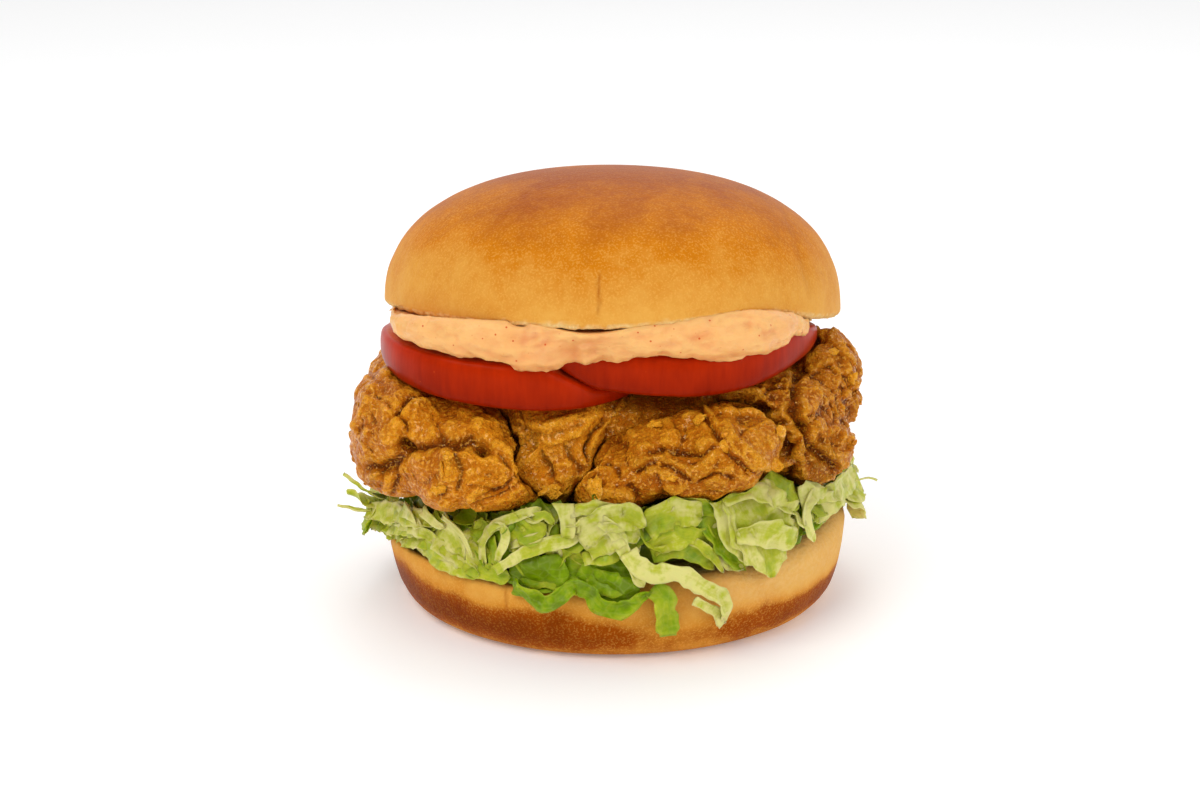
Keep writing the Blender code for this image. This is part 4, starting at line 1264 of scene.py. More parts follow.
def room_round(points, normals, push, neighbours, mates):
    """How far each point may move out, how far it swells towards a mate, and how far off that is."""
    limit = np.full(len(points), COATING_REACH)
    swell = np.zeros(len(points))
    beside = np.full(len(points), MATE_REACH)
    for i, (row, away) in enumerate(zip(points.tolist(), normals.tolist())):
        spot, away = Vector(row), Vector(away)
        apart = neighbours.ray_cast(spot, away, COATING_REACH)[3]
        if apart is not None:
            limit[i] = apart - NEIGHBOUR_GAP
        closest = mates.find_nearest(spot, MATE_REACH)[3]
        if closest is None:
            continue
        beside[i] = closest
        apart = mates.ray_cast(spot, away, COATING_REACH)[3]
        if apart is not None:
            limit[i] = min(limit[i], 0.5 * apart - MATE_GAP)
            inside = eased(BURGER_SIDE - math.hypot(row[0], row[1]), 0.0, 3.5 * MM)
            swell[i] = inside * max(0.0, limit[i] - 0.4 * MM - push[i])
    return limit, swell, beside


def make_chicken_piece(node, chicken, material, neighbours, mates, quick):
    """One piece of fried chicken: lumps, creases, crags and the folds that the photograph shows."""
    name = "Chicken." + node.split("_")[1].title()
    piece = recast(name, node, chicken.voxel * (CHICKEN_QUICK_FACTOR if quick else 1.0))
    mesh = piece.data
    points = relaxed(mesh, read_points(mesh), 5)
    write_points(mesh, points)
    normals = read_normals(mesh)
    push = coating_relief(node, chicken, points, normals)
    limit, swell, beside = room_round(points, normals, push, neighbours, mates)
    valley = 1.0 - eased(beside, 1.0 * MM, 4.5 * MM)
    outside = eased(np.hypot(points[:, 0], points[:, 1]), 47.5 * MM, 52.0 * MM)
    notch = np.clip(0.6 + 1.6 * noise_at(points, 0.007, 31.0), 0.1, 1.4) * MM
    push += relaxed(mesh, np.stack([swell] * 3, axis=1), 3)[:, 0] - notch * valley * outside
    points = points + normals * np.minimum(push, limit)[:, None]
    near_mate = 1.0 - eased(beside, 2.0 * MM, 7.0 * MM)
    sway = warped(points, SEAM_BEND_SIZE, SEAM_BEND_STRENGTH, 40.0) - points
    sway[:, 2] = 0.0
    flat = normals * np.array((1.0, 1.0, 0.0))
    outwards = np.einsum("ij,ij->i", sway, flat)
    points = points + sway * near_mate[:, None] - flat * (0.6 * outwards * near_mate * outside)[:, None]
    write_points(mesh, points)
    keep_value(mesh, "ridge", relief(mesh, 10, 0.42 * MM))
    spread = tone_at(COATING_TONES, points)
    keep_value(mesh, "crisp", np.clip(spread, 0.0, 0.8))
    # Painted shade in deep folds and in the valleys between the pieces.
    deep = 0.5 * np.maximum(eased(-push, 0.9 * MM, 2.2 * MM), 0.5 * valley)
    keep_value(mesh, "shade", np.clip(np.maximum(deep, -spread) + COATING_SHADE[node], 0.0, 0.85))
    return dressed(piece, material, [node])


def add_flake(bm, layers, spot, normal, wide, tall, turned, bright):
    """Adds an uneven curled disc, lying on the coating and lifted at one side. Sizes in millimetres."""
    crisp, ridge = layers
    side = normal.cross(Vector((0.0, 0.0, 1.0)))
    side = side.normalized() if side.length > 0.2 else Vector((1.0, 0.0, 0.0))
    rise = side.cross(normal) * -1.0
    across = side * math.cos(turned) + rise * math.sin(turned)
    along = rise * math.cos(turned) - side * math.sin(turned)
    body = min(0.35, 0.22 * min(wide, tall))
    rest = min(0.45, 0.16 * min(wide, tall))
    curl = min(0.5, 0.12 * max(wide, tall))
    rims = []
    for layer in (1.0, -1.0):
        middle = bm.verts.new(spot + normal * (rest + body * layer) * MM)
        rows = []
        for i in range(1, FLAKE_RINGS + 1):
            share = i / FLAKE_RINGS
            row = []
            for angle in turns(FLAKE_SPOKES):
                way = outward(angle, spot.x * 900.0)
                ragged = 1.0 + 0.55 * noise.noise(way * 1.3) + 0.35 * noise.noise(way * 3.1)
                x = share * ragged * 0.5 * wide * MM * math.cos(angle)
                y = share * ragged * 0.5 * tall * MM * math.sin(angle)
                bump = 1.6 * body * noise.noise(Vector((x, y, spot.z)) / (1.1 * MM)) * share
                lift = rest + body * layer * (1.0 - share ** 4) + bump
                lift -= curl * share * share * math.cos(angle)
                row.append(bm.verts.new(spot + across * x + along * y + normal * lift * MM))
            rows.append(row)
        step = 1 if layer > 0.0 else -1
        for j in range(FLAKE_SPOKES):
            k = (j + 1) % FLAKE_SPOKES
            bm.faces.new((middle, rows[0][j], rows[0][k])[::step])
            for near, far in zip(rows, rows[1:]):
                bm.faces.new((near[j], far[j], far[k], near[k])[::step])
        for vert in [middle] + [vert for row in rows for vert in row]:
            vert[crisp] = bright
            vert[ridge] = 0.3
        rims.append(rows[-1])
    for j in range(FLAKE_SPOKES):
        k = (j + 1) % FLAKE_SPOKES
        bm.faces.new((rims[0][j], rims[1][j], rims[1][k], rims[0][k]))


def make_flakes(material, pieces):
    """Thin crisp flakes and crumbs of coating that cling to the chicken."""
    tree = tree_over([piece.data for piece in pieces])
    draw = random.Random(5)
    bm = bmesh.new()
    layers = [bm.verts.layers.float.new(name) for name in ("crisp", "ridge")]
    for across, down, wide, tall in CRISP_FLAKES:
        spot, normal, _, _ = tree.ray_cast(CAMERA_PLACE, photo_ray(across, down))
        if spot is not None:
            add_flake(bm, layers, spot, normal, wide, tall, draw.uniform(-0.5, 0.5), 1.0)
    placed = 0
    while placed < LOOSE_CRUMBS:
        angle = draw.uniform(0.0, 2.0 * math.pi)
        height = draw.uniform(36.0, 66.0) * MM
        out = outward(angle)
        spot, normal, _, _ = tree.ray_cast(out * 0.09 + Vector((0.0, 0.0, height)), -out)
        if spot is None or Vector((spot.x, spot.y)).length < 0.03:
            continue
        placed += 1
        wide = 0.8 + 1.4 * draw.random() ** 2
        tall = wide * draw.uniform(0.5, 1.3)
        turned = draw.uniform(0.0, 6.3)
        add_flake(bm, layers, spot, normal, wide, tall, turned, draw.uniform(0.0, 0.35))
    bmesh.ops.recalc_face_normals(bm, faces=bm.faces)
    mesh = bpy.data.meshes.new("Flakes")
    bm.to_mesh(mesh)
    bm.free()
    keep_value(mesh, "shade", np.zeros(len(mesh.vertices)))
    return dressed(linked("Chicken.Flakes", mesh), material, [])


def make_inner_chicken(bun, filling, material):
    """The crumbly chicken that shows, in shadow, between the pieces."""
    ridge = []

    def place(angle, share, level):
        way = outward(angle)
        x = share * INNER_RADIUS * way.x
        y = share * INNER_RADIUS * way.y
        low = CHICKEN_FLOOR + CHICKEN_FLOOR_SLOPE * x + 0.5 * MM
        slices = min(left_underside(x, y), right_underside(filling, x, y), crown_underside(bun, x, y))
        high = max(low + 8.0 * MM, slices - 1.6 * MM)
        spot = Vector((x, y, low + (high - low) * level))
        near = noise.voronoi(spot / (4.2 * MM))[0][0]
        finer = noise.voronoi(spot / (1.7 * MM))[0][0]
        bump = (0.6 - near) * 1.9 + (0.5 - finer) * 0.8
        ridge.append(max(-1.0, min(1.0, bump / 1.2)))
        return spot + way * bump * MM * eased(share, 0.6, 1.0)

    rows = [(0.5, 0.0)] + [(1.0, i / INNER_STEPS) for i in range(INNER_STEPS + 1)] + [(0.5, 1.0)]
    rings = [[place(angle, *row) for angle in turns(INNER_SEGMENTS)] for row in rows]
    mesh = shell("Inner chicken", rings, (place(0.0, 0.0, 0.0), place(0.0, 0.0, 1.0)))
    keep_value(mesh, "ridge", ridge)
    keep_value(mesh, "crisp", np.zeros(len(ridge)))
    # Painted shade over the whole inner piece.
    keep_value(mesh, "shade", np.full(len(ridge), 0.35))
    return dressed(linked("Chicken.Inner", mesh), material, [])


def make_chicken(bun, filling, chicken, quick):
    """The four pieces of chicken, side by side, and their loose flakes."""
    material = chicken_material(chicken)
    neighbours = tree_of([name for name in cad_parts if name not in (*FOLDS, "lettuce")])
    pieces = []
    for node in FOLDS:
        mates = tree_of([name for name in FOLDS if name != node])
        pieces.append(make_chicken_piece(node, chicken, material, neighbours, mates, quick))
    make_flakes(material, pieces)
    make_inner_chicken(bun, filling, material)


# Leaves seen in the photograph. Each has its route in the photograph's pixels with its distance
# out from the side of the burger in millimetres, then in millimetres its widths at the start,
# middle and end, its ruffle and the cup of its edges; then the tilt of its face in degrees, its
# tone from 0 pale to 1 green, and its thickness in millimetres where it isn't the usual one.
FRONT_LEAVES = (
    (((388, 502, -1), (370, 494, 3), (355, 484, 7), (342, 476, 8.5)), (5, 4.5, 1), 0.5, 0.5, 50, 0.36),
    (((392, 508, -1), (372, 504, 4), (356, 497, 7), (346, 492, 8.5)), (6, 6, 2.5), 0.7, 0.4, 40, 0.28),
    (((400, 518, 0), (378, 516, 3), (358, 511, 7), (337, 507, 9.5)), (5, 4, 0.6), 0.5, 0.5, 50, 0.26),
    (((370, 512, 2.5), (392, 514, 3), (414, 518, 3), (436, 526, 2)), (5, 6, 4), 1.1, 0.5, 25, 0.20, 0.6),
    (((378, 524, 2), (400, 528, 2.6), (420, 532, 2.2), (438, 530, 1.2)),
     (3.5, 4.5, 3), 0.8, 0.5, 20, 0.30, 0.6),
    (((404, 508, 3.4), (412, 516, 3.8), (418, 525, 3)), (3.6, 2.6, 1), 0.3, 0.3, 10, 0.04, 0.7),
    (((374, 516, 0.8), (394, 526, 1.4), (416, 536, 1.6), (440, 547, 1.4)), (5, 6.5, 5), 0.8, 0.5, 20, 0.34),
    (((392, 511, 2.2), (410, 522, 2.8), (428, 533, 2.4), (442, 545, 1.6)), (4, 5, 3), 0.9, 0.5, 15, 0.16),
    (((524, 562, 0.4), (560, 570, 1), (604, 574, 1.2), (640, 572, 0.8)), (8, 11, 9), 0.9, 0.6, 12, 0.74),
    (((418, 540, 1.4), (436, 552, 2), (458, 566, 2.4), (482, 576, 2.2)), (4, 5.5, 3), 0.8, 0.5, 15, 0.32),
    (((466, 560, 1), (480, 569, 1.8), (496, 574, 2), (512, 577, 1.6)), (4, 4.5, 3), 0.7, 0.4, 15, 0.42),
    (((434, 522, 0.6), (450, 541, 1.2), (468, 556, 1.4), (486, 567, 1.2)), (7, 8, 5), 0.9, 0.6, 10, 0.36),
    (((424, 510, 2.8), (432, 520, 3.2), (446, 528, 2.6)), (2.5, 2.6, 1.5), 0.4, 0.4, 15, 0.10, 0.6),
    (((440, 512, 0), (446, 530, 1.6), (454, 548, 2), (466, 564, 1.6)), (7, 10.5, 6), 0.8, 0.8, 5, 0.12),
    (((443, 516, 3.2), (457, 527, 3.4), (468, 543, 3.2), (474, 558, 2.4)),
     (1.4, 1.3, 1), 0.2, 0.5, 0, 0, 0.7),
    (((452, 556, 1.8), (466, 564, 2.2), (480, 569, 2)), (3, 3.4, 2), 0.5, 0.5, 0, 0.16),
    (((478, 512, -2), (484, 540, -0.5), (492, 570, 1.2)), (8, 6, 2), 0.9, 0.7, 5, 0.55),
    (((470, 512, -2.5), (500, 520, -2), (530, 512, -2.5)), (6, 8, 6), 1.2, 0.7, 15, 0.70),
    (((484, 562, 1.6), (485, 542, 2), (492, 529, 1.8), (503, 527, 2.2), (506, 540, 2.6), (498, 562, 2.6)),
     (2.4, 2.2, 2.4), 0.3, 0.4, 0, 0.10, 0.7),
    (((492, 536, 0.8), (496, 550, 1), (497, 566, 1.2)), (3, 3.4, 2), 0.5, 0.6, 0, 0.45),
    (((481, 544, 1.4), (495, 527, 1.8), (519, 516, 1.6), (542, 508, 0.6)),
     (1.8, 2.4, 2.2), 0.4, 0.4, 20, 0.08, 0.7),
    (((512, 520, 0), (530, 528, 0.8), (548, 534, 0.8)), (6, 7, 5), 1.3, 0.6, 10, 0.42),
    (((524, 512, 0.6), (534, 518, 1.4), (546, 514, 1.4), (554, 524, 1.2)), (2, 2.6, 2), 0.5, 0.5, 10, 0.30),
    (((497, 571, 3.2), (508, 562, 3.4), (524, 553, 3.2), (544, 546, 3), (562, 542, 2.8), (580, 538, 2.2)),
     (2.2, 3.2, 3), 0.4, 0.5, 20, 0.12, 0.8),
    (((512, 546, 1.6), (530, 540, 2), (550, 534, 1.8)), (1.6, 2, 1.8), 0.3, 0.4, 20, 0.10, 0.6),
    (((566, 504, 1.4), (566, 512, 2.4), (569, 524, 3), (569, 537, 3)), (6, 3.6, 3.6), 0.3, 0.4, 0, 0.06, 0.8),
    (((584, 512, 1.8), (576, 520, 2.4), (574, 534, 2.6)), (3, 3, 2.5), 0.5, 0.5, 10, 0.14, 0.6),
    (((572, 512, 2), (590, 510, 2.4), (608, 510, 2.2), (622, 514, 1.6)), (3, 4, 3), 0.8, 0.5, 25, 0.20),
    (((578, 534, 1.4), (594, 524, 2.4), (612, 516, 2.8), (630, 517, 2.6), (642, 526, 2)),
     (6, 8, 4), 1.5, 0.6, 5, 0.14, 0.6),
    (((588, 550, 2), (604, 540, 2.8), (622, 534, 3), (640, 536, 2.4)), (5, 7, 3.5), 1.4, 0.6, 0, 0.08, 0.6),
    (((584, 560, 2), (602, 556, 2.4), (622, 556, 2)), (3, 3.6, 2), 0.7, 0.5, 20, 0.35, 0.6),
    (((600, 520, 3.2), (612, 528, 3.6), (622, 544, 3.2), (626, 556, 2.4)), (3, 4, 2), 0.8, 0.6, 0, 0.05, 0.6),
    (((512, 566, 1), (524, 572, 1.8), (540, 577, 2.2), (556, 576, 2.4), (570, 574, 2.2)),
     (8, 10, 7), 0.9, -0.4, 0, 0.95),
    (((578, 572, 1.2), (598, 582, 1.8), (618, 592, 2), (640, 590, 2)), (5, 7, 5), 0.9, -0.3, 0, 0.84),
    (((514, 586, 2.4), (528, 594, 2.8), (545, 602, 2.8), (560, 596, 3), (574, 584, 2.8), (588, 590, 2.8),
      (600, 602, 2.8), (618, 609, 2.8), (634, 602, 2.8), (652, 592, 2.4)),
     (3.5, 4.6, 3.5), 1.3, 0.4, 0, 0.78),
    (((652, 588, 2.6), (662, 598, 2.8), (665, 614, 2.4), (667, 634, 1.8)), (5, 5.4, 5.6), 0.5, 0.5, 0, 0.60),
    (((628, 552, 3), (636, 564, 4), (652, 572, 4.4), (672, 572, 4.2), (690, 578, 4), (708, 590, 3.6),
      (722, 600, 3), (722, 622, 1.8)), (4.5, 4.4, 2.8), 0.9, 0.7, 10, 0, 0.9),
    (((632, 566, 3.8), (638, 578, 4), (644, 586, 3.4)), (3, 3, 1.5), 0.4, 0.5, 0, 0, 0.8),
    (((694, 600, 3.4), (706, 606, 3.2), (716, 612, 2.6), (722, 624, 1.8)),
     (2.6, 2.6, 3), 0.4, 0.5, 0, 0.02, 0.8),
    (((646, 528, 1), (660, 518, 1.8), (680, 514, 1.6), (700, 518, 1)), (5, 7, 5), 1.2, 0.7, 15, 0.30),
    (((650, 546, 0.6), (668, 536, 1.8), (688, 534, 1.8), (706, 540, 1)), (5, 6, 4), 1.1, 0.6, 10, 0.42),
    (((660, 512, 0.4), (690, 506, 0.4), (716, 508, 0.4)), (4, 6, 4), 1, 0.6, 10, 0.60),
    (((652, 556, 1), (676, 550, 1.8), (696, 556, 1.6), (712, 568, 0.8)), (3.4, 4, 2.4), 0.8, 0.6, 10, 0.50),
    (((704, 514, 0.4), (712, 530, 1.2), (728, 550, 1.4), (742, 568, 0.6)), (5, 6, 2.4), 0.8, 0.7, 5, 0.66),
    (((690, 540, 2), (704, 548, 2.4), (716, 562, 1.8), (722, 572, 1)), (2.2, 2.4, 1.2), 0.5, 0.6, 5, 0.30),
    (((738, 486, 0.5), (748, 508, 2.6), (760, 534, 3.6), (768, 558, 3.2), (771, 577, 1.8)),
     (11, 19, 5), 1.1, 0.9, 8, 0.20),
    (((716, 498, 1.6), (724, 514, 2.8), (730, 538, 3.4), (748, 562, 3)),
     (4.5, 4.5, 3), 0.6, 0.6, 5, 0.12, 0.6),
    (((722, 500, 2.6), (744, 492, 3.4), (768, 498, 3.8), (790, 512, 3.4), (802, 528, 2.8)),
     (3, 4.4, 3), 0.7, 0.6, 35, 0.16),
    (((736, 534, 4.2), (756, 532, 4.8), (778, 536, 4.6), (796, 536, 3.8)), (4, 8, 5), 0.8, 0.6, 0, 0.12),
    (((752, 482, 0), (770, 484, 1.2), (786, 494, 1.8), (796, 504, 1.4)), (6, 7, 5), 0.8, 0.7, 30, 0.45),
    (((798, 498, 1.2), (810, 492, 2), (824, 486, 2)), (5, 6, 4), 0.5, 0.6, 10, 0.04, 0.7),
    (((822, 486, 0.6), (812, 496, 1.8), (805, 512, 2.6), (807, 528, 2.8), (813, 541, 2.2)),
     (7, 3, 2.4), 0.3, 0.5, 0, 0, 1),
    (((806, 516, -1), (822, 502, 1), (838, 488, 1.8), (849, 466, 1.4)), (5, 8, 6), 0.8, 0.8, 15, 0.14),
    (((816, 500, 1.6), (834, 496, 2.2), (852, 486, 2.4)), (3, 3, 1.5), 0.5, 0.5, 10, 0.20),
    (((846, 486, 1), (858, 481, 4), (868, 478, 6), (877, 481, 7.2)), (3, 2.8, 0.5), 0.3, 0.3, 40, 0.12),
)
# The upper and lower edge of the lettuce in the photograph, in its pixels.
HEAP_TOP = (
    (350, 476), (370, 498), (400, 508), (440, 514), (470, 514), (500, 507), (530, 500), (560, 502),
    (600, 505), (640, 505), (680, 499), (700, 492), (740, 489), (780, 482), (830, 484), (848, 468),
)
HEAP_FOOT = (
    (350, 512), (380, 530), (410, 541), (440, 553), (470, 567), (500, 575), (540, 580), (580, 572),
    (630, 562), (660, 556), (700, 560), (740, 570), (771, 574), (790, 560), (805, 543), (820, 520),
    (848, 498),
)


def leaf_material(filling):
    """Lettuce: thin, veined and see-through, from pale ribs to green frills."""
    made, wires, shader = surface(
        "Lettuce", 0.38, subsurface_weight=0.30, subsurface_scale=0.0012, coat_roughness=0.2,
        specular_ior_level=0.14, specular_tint=(1.0, 1.0, 0.5, 1.0)
    )
    shader["Subsurface Radius"].default_value = (0.7, 1.0, 0.25)
    place = wires.place()
    patches = wires.mottled(place, 0.006, 2.2)
    along = wires.add("ShaderNodeAttribute", attribute_name="leaf_place").outputs["Vector"]
    veins = wires.add(
        "ShaderNodeTexVoronoi", {"Vector": wires.stretched(along, (0.55, 1.0, 1.0)), "Scale": 620.0},
        feature="DISTANCE_TO_EDGE",
    ).outputs["Distance"]
    vein = wires.span(veins, 0.12, 0.0, 0.0, 0.07)
    small = wires.mottled(place, 0.0022, 2.6)
    fibre = wires.mottled(wires.stretched(along, (0.18, 1.0, 1.0)), 0.0009, 3.0)
    share = wires.plus(wires.value("tone"), wires.span(patches, 0.0, 1.0, -0.20, 0.20))
    share = wires.plus(share, wires.span(small, 0.0, 1.0, -0.10, 0.10))
    share = wires.plus(share, wires.span(fibre, 0.0, 1.0, -0.06, 0.06))
    ribs = wires.mottled(wires.stretched(along, (1.0, 0.2, 1.0)), 0.0012, 3.0)
    share = wires.plus(share, wires.span(ribs, 0.0, 1.0, -0.05, 0.05))
    stops = (
        (0.0, filling.leaf_pale),
        (0.30, filling.leaf_light),
        (0.80, filling.leaf_green),
        (1.0, Vector(filling.leaf_green).lerp(Vector(filling.leaf_deep_green_and_shade), 0.45)),
    )
    colour = wires.ramp(share, stops)
    colour = wires.blend(vein, colour, filling.leaf_pale)
    # Painted shade: leaves deep in the heap, and its core, are mixed towards deep green.
    colour = wires.blend(wires.value("deep"), colour, filling.leaf_deep_green_and_shade)
    wires.feed(shader["Base Color"], colour)
    wires.feed(shader["Coat Weight"], wires.span(patches, 0.4, 0.8, 0.0, 0.3))
    grain = wires.grained(place, 0.0011, 0.0)
    height = wires.plus(wires.times(grain, 0.5), wires.times(vein, 0.9))
    bumped(wires, shader, height, 0.00018)
    return made


def heel_flank(bun, angle, height):
    """Radius of the burger's side below the chicken: the heel's flank, and straight up from its rim."""
    reach = heel_reach(bun, angle)
    top = heel_top(bun, reach * math.cos(angle))
    level = min(1.0, max(0.0, height / top))
    rise = math.acos((1.0 - level) ** (0.5 * HEEL_POWER_UP))
    flare = math.sin(rise) ** (2.0 / HEEL_POWER_OUT)
    flank = bun.foot_radius + flare * (reach - bun.foot_radius)
    return flank - SIDE_TUCK * eased(height, top - 1.0 * MM, top + 2.0 * MM)


def photo_point(bun, across, down, out):
    """The first point of a pixel's ray that is a given distance out from the burger's side."""
    ray = photo_ray(across, down)
    best = None
    closest = 1e9
    along = RAY_START
    while along < RAY_END:
        spot = CAMERA_PLACE + ray * along
        outside = math.hypot(spot.x, spot.y) - heel_flank(bun, math.atan2(spot.y, spot.x), spot.z)
        if outside <= out * MM:
            return spot
        if outside < closest:
            closest = outside
            best = spot
        along += RAY_STEP
    return best


def curve_through(stations, count):
    """Evenly spread points on a smooth curve through the stations."""
    padded = [2.0 * stations[0] - stations[1]] + list(stations) + [2.0 * stations[-1] - stations[-2]]
    dense = []
    for i in range(1, len(padded) - 2):
        p0, p1, p2, p3 = padded[i - 1 : i + 3]
        for step in range(12):
            t = step / 12.0
            dense.append(
                0.5 * (2.0 * p1 + (p2 - p0) * t + (2.0 * p0 - 5.0 * p1 + 4.0 * p2 - p3) * t * t
                       + (3.0 * p1 - p0 - 3.0 * p2 + p3) * t ** 3)
            )
    dense.append(padded[-2])
    lengths = [0.0]
    for near, far in zip(dense, dense[1:]):
        lengths.append(lengths[-1] + (far - near).length)
    points = []
    index = 0
    for i in range(count + 1):
        goal = lengths[-1] * i / count
        while index < len(lengths) - 2 and lengths[index + 1] < goal:
            index += 1
        gap = max(lengths[index + 1] - lengths[index], 1e-9)
        points.append(dense[index].lerp(dense[index + 1], min(1.0, (goal - lengths[index]) / gap)))
    return points, lengths[-1]


def leaf_frames(middle, tilt, salt):
    """For each point of a leaf's middle line: its place, and the directions across and off its face."""
    lean = math.radians(tilt)
    last = len(middle) - 1
    for i, spot in enumerate(middle):
        along = (middle[min(i + 1, last)] - middle[max(i - 1, 0)]).normalized()
        out = Vector((spot.x, spot.y, 0.0)).normalized()
        face = (out * math.cos(lean) + Vector((0.0, 0.0, math.sin(lean)))).normalized()
        side = along.cross(face)
        side = side.normalized() if side.length > 0.1 else Vector((0.0, 0.0, 1.0))
        face = side.cross(along).normalized()
        twist = Matrix.Rotation(LEAF_TWIST * noise.noise(Vector((1.6 * i / last, salt, 2.0))), 3, along)
        yield spot, twist @ side, twist @ face


def leaf_half_width(widths, share):
    """Half of a leaf's width, part of the way along it. A leaf that narrows ends in a point."""
    first, second, third = widths
    width = first + (second - first) * min(1.0, 2.0 * share)
    if share >= 0.5:
        width = second + (third - second) * (2.0 * share - 1.0)
    blunt = LEAF_BLUNT if third >= second else LEAF_POINTED
    ends = math.sqrt(math.sin(0.5 * math.pi * min(1.0, (1.0 - share) / LEAF_TIP)))
    return 0.5 * width * MM * max(blunt, ends)


def leaf_wave(way, offset, half, widest, salt):
    """How a leaf's surface rises and falls, in shares of its ruffle: frilled edge, crumple and crease."""
    edge = abs(offset) ** 3
    spot = Vector((way, half * offset, 0.0))
    frill = math.sin(way / (0.0016 + 0.0002 * widest) + 2.0 * offset + salt)
    wave = 0.55 * edge * frill * (0.4 + 3.6 / (widest + 3.0))
    wave += 0.9 * noise.noise(spot / 0.0042 + Vector((salt, 0.0, salt)))
    wave += 0.35 * noise.noise(spot / 0.0017 + Vector((0.0, salt, salt)))
    crease = 1.0 - 2.0 * abs(noise.noise(spot / 0.0060 + Vector((salt, salt, 0.0))))
    return wave + 0.9 * max(0.0, crease) ** 2


def add_leaf(
    bm, layers, stations, widths, ruffle, cup, tilt, shade, thick=LEAF_THICKNESS, salt=0.0, deep=0.0
):
    """Adds one thin, crumpled leaf along a route. Widths, ruffle, cup and thickness are in millimetres."""
    tone_layer, depth_shade_layer, place_layer = layers
    rough_length = sum((far - near).length for near, far in zip(stations, stations[1:]))
    rows = max(6, round(rough_length / LEAF_CELL))
    middle, length = curve_through(stations, rows)
    widest = max(widths)
    cells = max(4, 2 * round(0.5 * widest * MM / LEAF_CELL))
    sheets = {1.0: [], -1.0: []}
    for i, (spot, side, face) in enumerate(leaf_frames(middle, tilt, salt)):
        way = length * i / rows
        half = leaf_half_width(widths, i / rows)
        for layer, sheet in sheets.items():
            row = []
            for j in range(cells + 1):
                offset = 2.0 * j / cells - 1.0
                edge = abs(offset) ** 3
                ragged = 1.0 + 0.30 * edge * noise.noise(Vector((way / 0.0022, offset * 1.5, salt)))
                ragged += 0.35 * abs(offset) * noise.noise(Vector((way / 0.0065, offset * 1.5, salt + 9.0)))
                lift = ruffle * leaf_wave(way, offset, half, widest, salt) + cup * offset * offset
                lift += 0.36 * thick * (1.0 - 0.6 * edge) * layer
                vert = bm.verts.new(spot + side * half * offset * ragged + face * lift * MM)
                vert[tone_layer] = shade - 0.16 * edge + 0.06 * layer
                vert[depth_shade_layer] = deep
                vert[place_layer] = (way, half * offset, salt * 0.01)
                row.append(vert)
            sheet.append(row)
    for layer, sheet in sheets.items():
        step = 1 if layer > 0.0 else -1
        for near, far in zip(sheet, sheet[1:]):
            for j in range(cells):
                bm.faces.new((near[j], far[j], far[j + 1], near[j + 1])[::step])
    border = [(i, 0) for i in range(rows)]
    border += [(rows, j) for j in range(cells)]
    border += [(i, cells) for i in range(rows, 0, -1)]
    border += [(0, j) for j in range(cells, 0, -1)]
    upper, lower = sheets[1.0], sheets[-1.0]
    for (i, j), (k, l) in zip(border, border[1:] + border[:1]):
        bm.faces.new((upper[i][j], lower[i][j], lower[k][l], upper[k][l]))


def clear_of_food(bun, mesh, chicken_tree):
    """Moves leaf points out of the heel, and down or out from the chicken."""
    for vert in mesh.vertices:
        spot = vert.co
        angle = math.atan2(spot.y, spot.x)
        reach = math.hypot(spot.x, spot.y)
        top = heel_top(bun, spot.x) + LEAF_OVER_HEEL
        if spot.z < top and reach < heel_reach(bun, angle) + 1.0 * MM:
            flank = heel_flank(bun, angle, spot.z) + 0.4 * MM
            flank += 1.9 * MM * eased(spot.z, top - 2.0 * MM, top)
            if reach < flank:
                if flank - reach < top - spot.z + 1.0 * MM:
                    vert.co.x *= flank / reach
                    vert.co.y *= flank / reach
                else:
                    vert.co.z = top
        if spot.z > CHICKEN_FLOOR - 1.5 * MM:
            near, normal, _, apart = chicken_tree.find_nearest(vert.co, 6.0 * MM)
            if near is not None:
                signed = (vert.co - near).dot(normal)
                if signed < LEAF_OFF_CHICKEN and (signed < 0.0 or apart < LEAF_OFF_CHICKEN):
                    vert.co = near + normal * 1.1 * LEAF_OFF_CHICKEN


def leaf_mesh():
    """An empty bmesh with the layers that the leaves fill."""
    bm = bmesh.new()
    layers = (
        bm.verts.layers.float.new("tone"),
        bm.verts.layers.float.new("deep"),
        bm.verts.layers.float_vector.new("leaf_place"),
    )
    return bm, layers


def finish_leaves(bm, name, bun, material, chicken_tree, nodes):
    """Turns the leaves into a piece that lies clear of the food round it."""
    bmesh.ops.recalc_face_normals(bm, faces=bm.faces)
    mesh = bpy.data.meshes.new(name)
    bm.to_mesh(mesh)
    bm.free()
    clear_of_food(bun, mesh, chicken_tree)
    if nodes:
        # Painted shade for the front leaves: darker where they lie in the heap's side, and a little near the
        # heap's top under the chicken.
        points = read_points(mesh)
        side = np.array([heel_flank(bun, math.atan2(y, x), z) for x, y, z in points.tolist()])
        out = np.hypot(points[:, 0], points[:, 1]) - side
        under = eased(points[:, 2], 27.0 * MM, 34.0 * MM)
        keep_value(mesh, "deep", 0.75 * (1.0 - eased(out, -2.0 * MM, 1.6 * MM)) + 0.15 * under)
    return dressed(linked(name, mesh), material, nodes)


def round_route(angle, sway, start, reach, height, turned, tail):
    """Stations of a leaf that slopes out of the heap and bends. Angles in radians, sizes in metres."""
    corner = reach - LEAF_BEND
    bend = abs(turned)
    way = math.copysign(1.0, turned)
    halfway = (0.5 * (LEAF_ROOT + corner), 0.5 * (start + height) + 0.6 * MM)
    plan = [(LEAF_ROOT, start), halfway, (corner, height)]
    for bent in (0.5 * bend, bend):
        rise = way * LEAF_BEND * (1.0 - math.cos(bent))
        plan.append((corner + LEAF_BEND * math.sin(bent), height + rise))
    radius, level = plan[-1]
    plan.append((radius + tail * math.cos(bend), level + way * tail * math.sin(bend)))
    stations = []
    for i, (radius, level) in enumerate(plan):
        around = angle + sway * (i / (len(plan) - 1) - 0.5)
        stations.append(Vector((radius * math.cos(around), radius * math.sin(around), level)))
    return stations


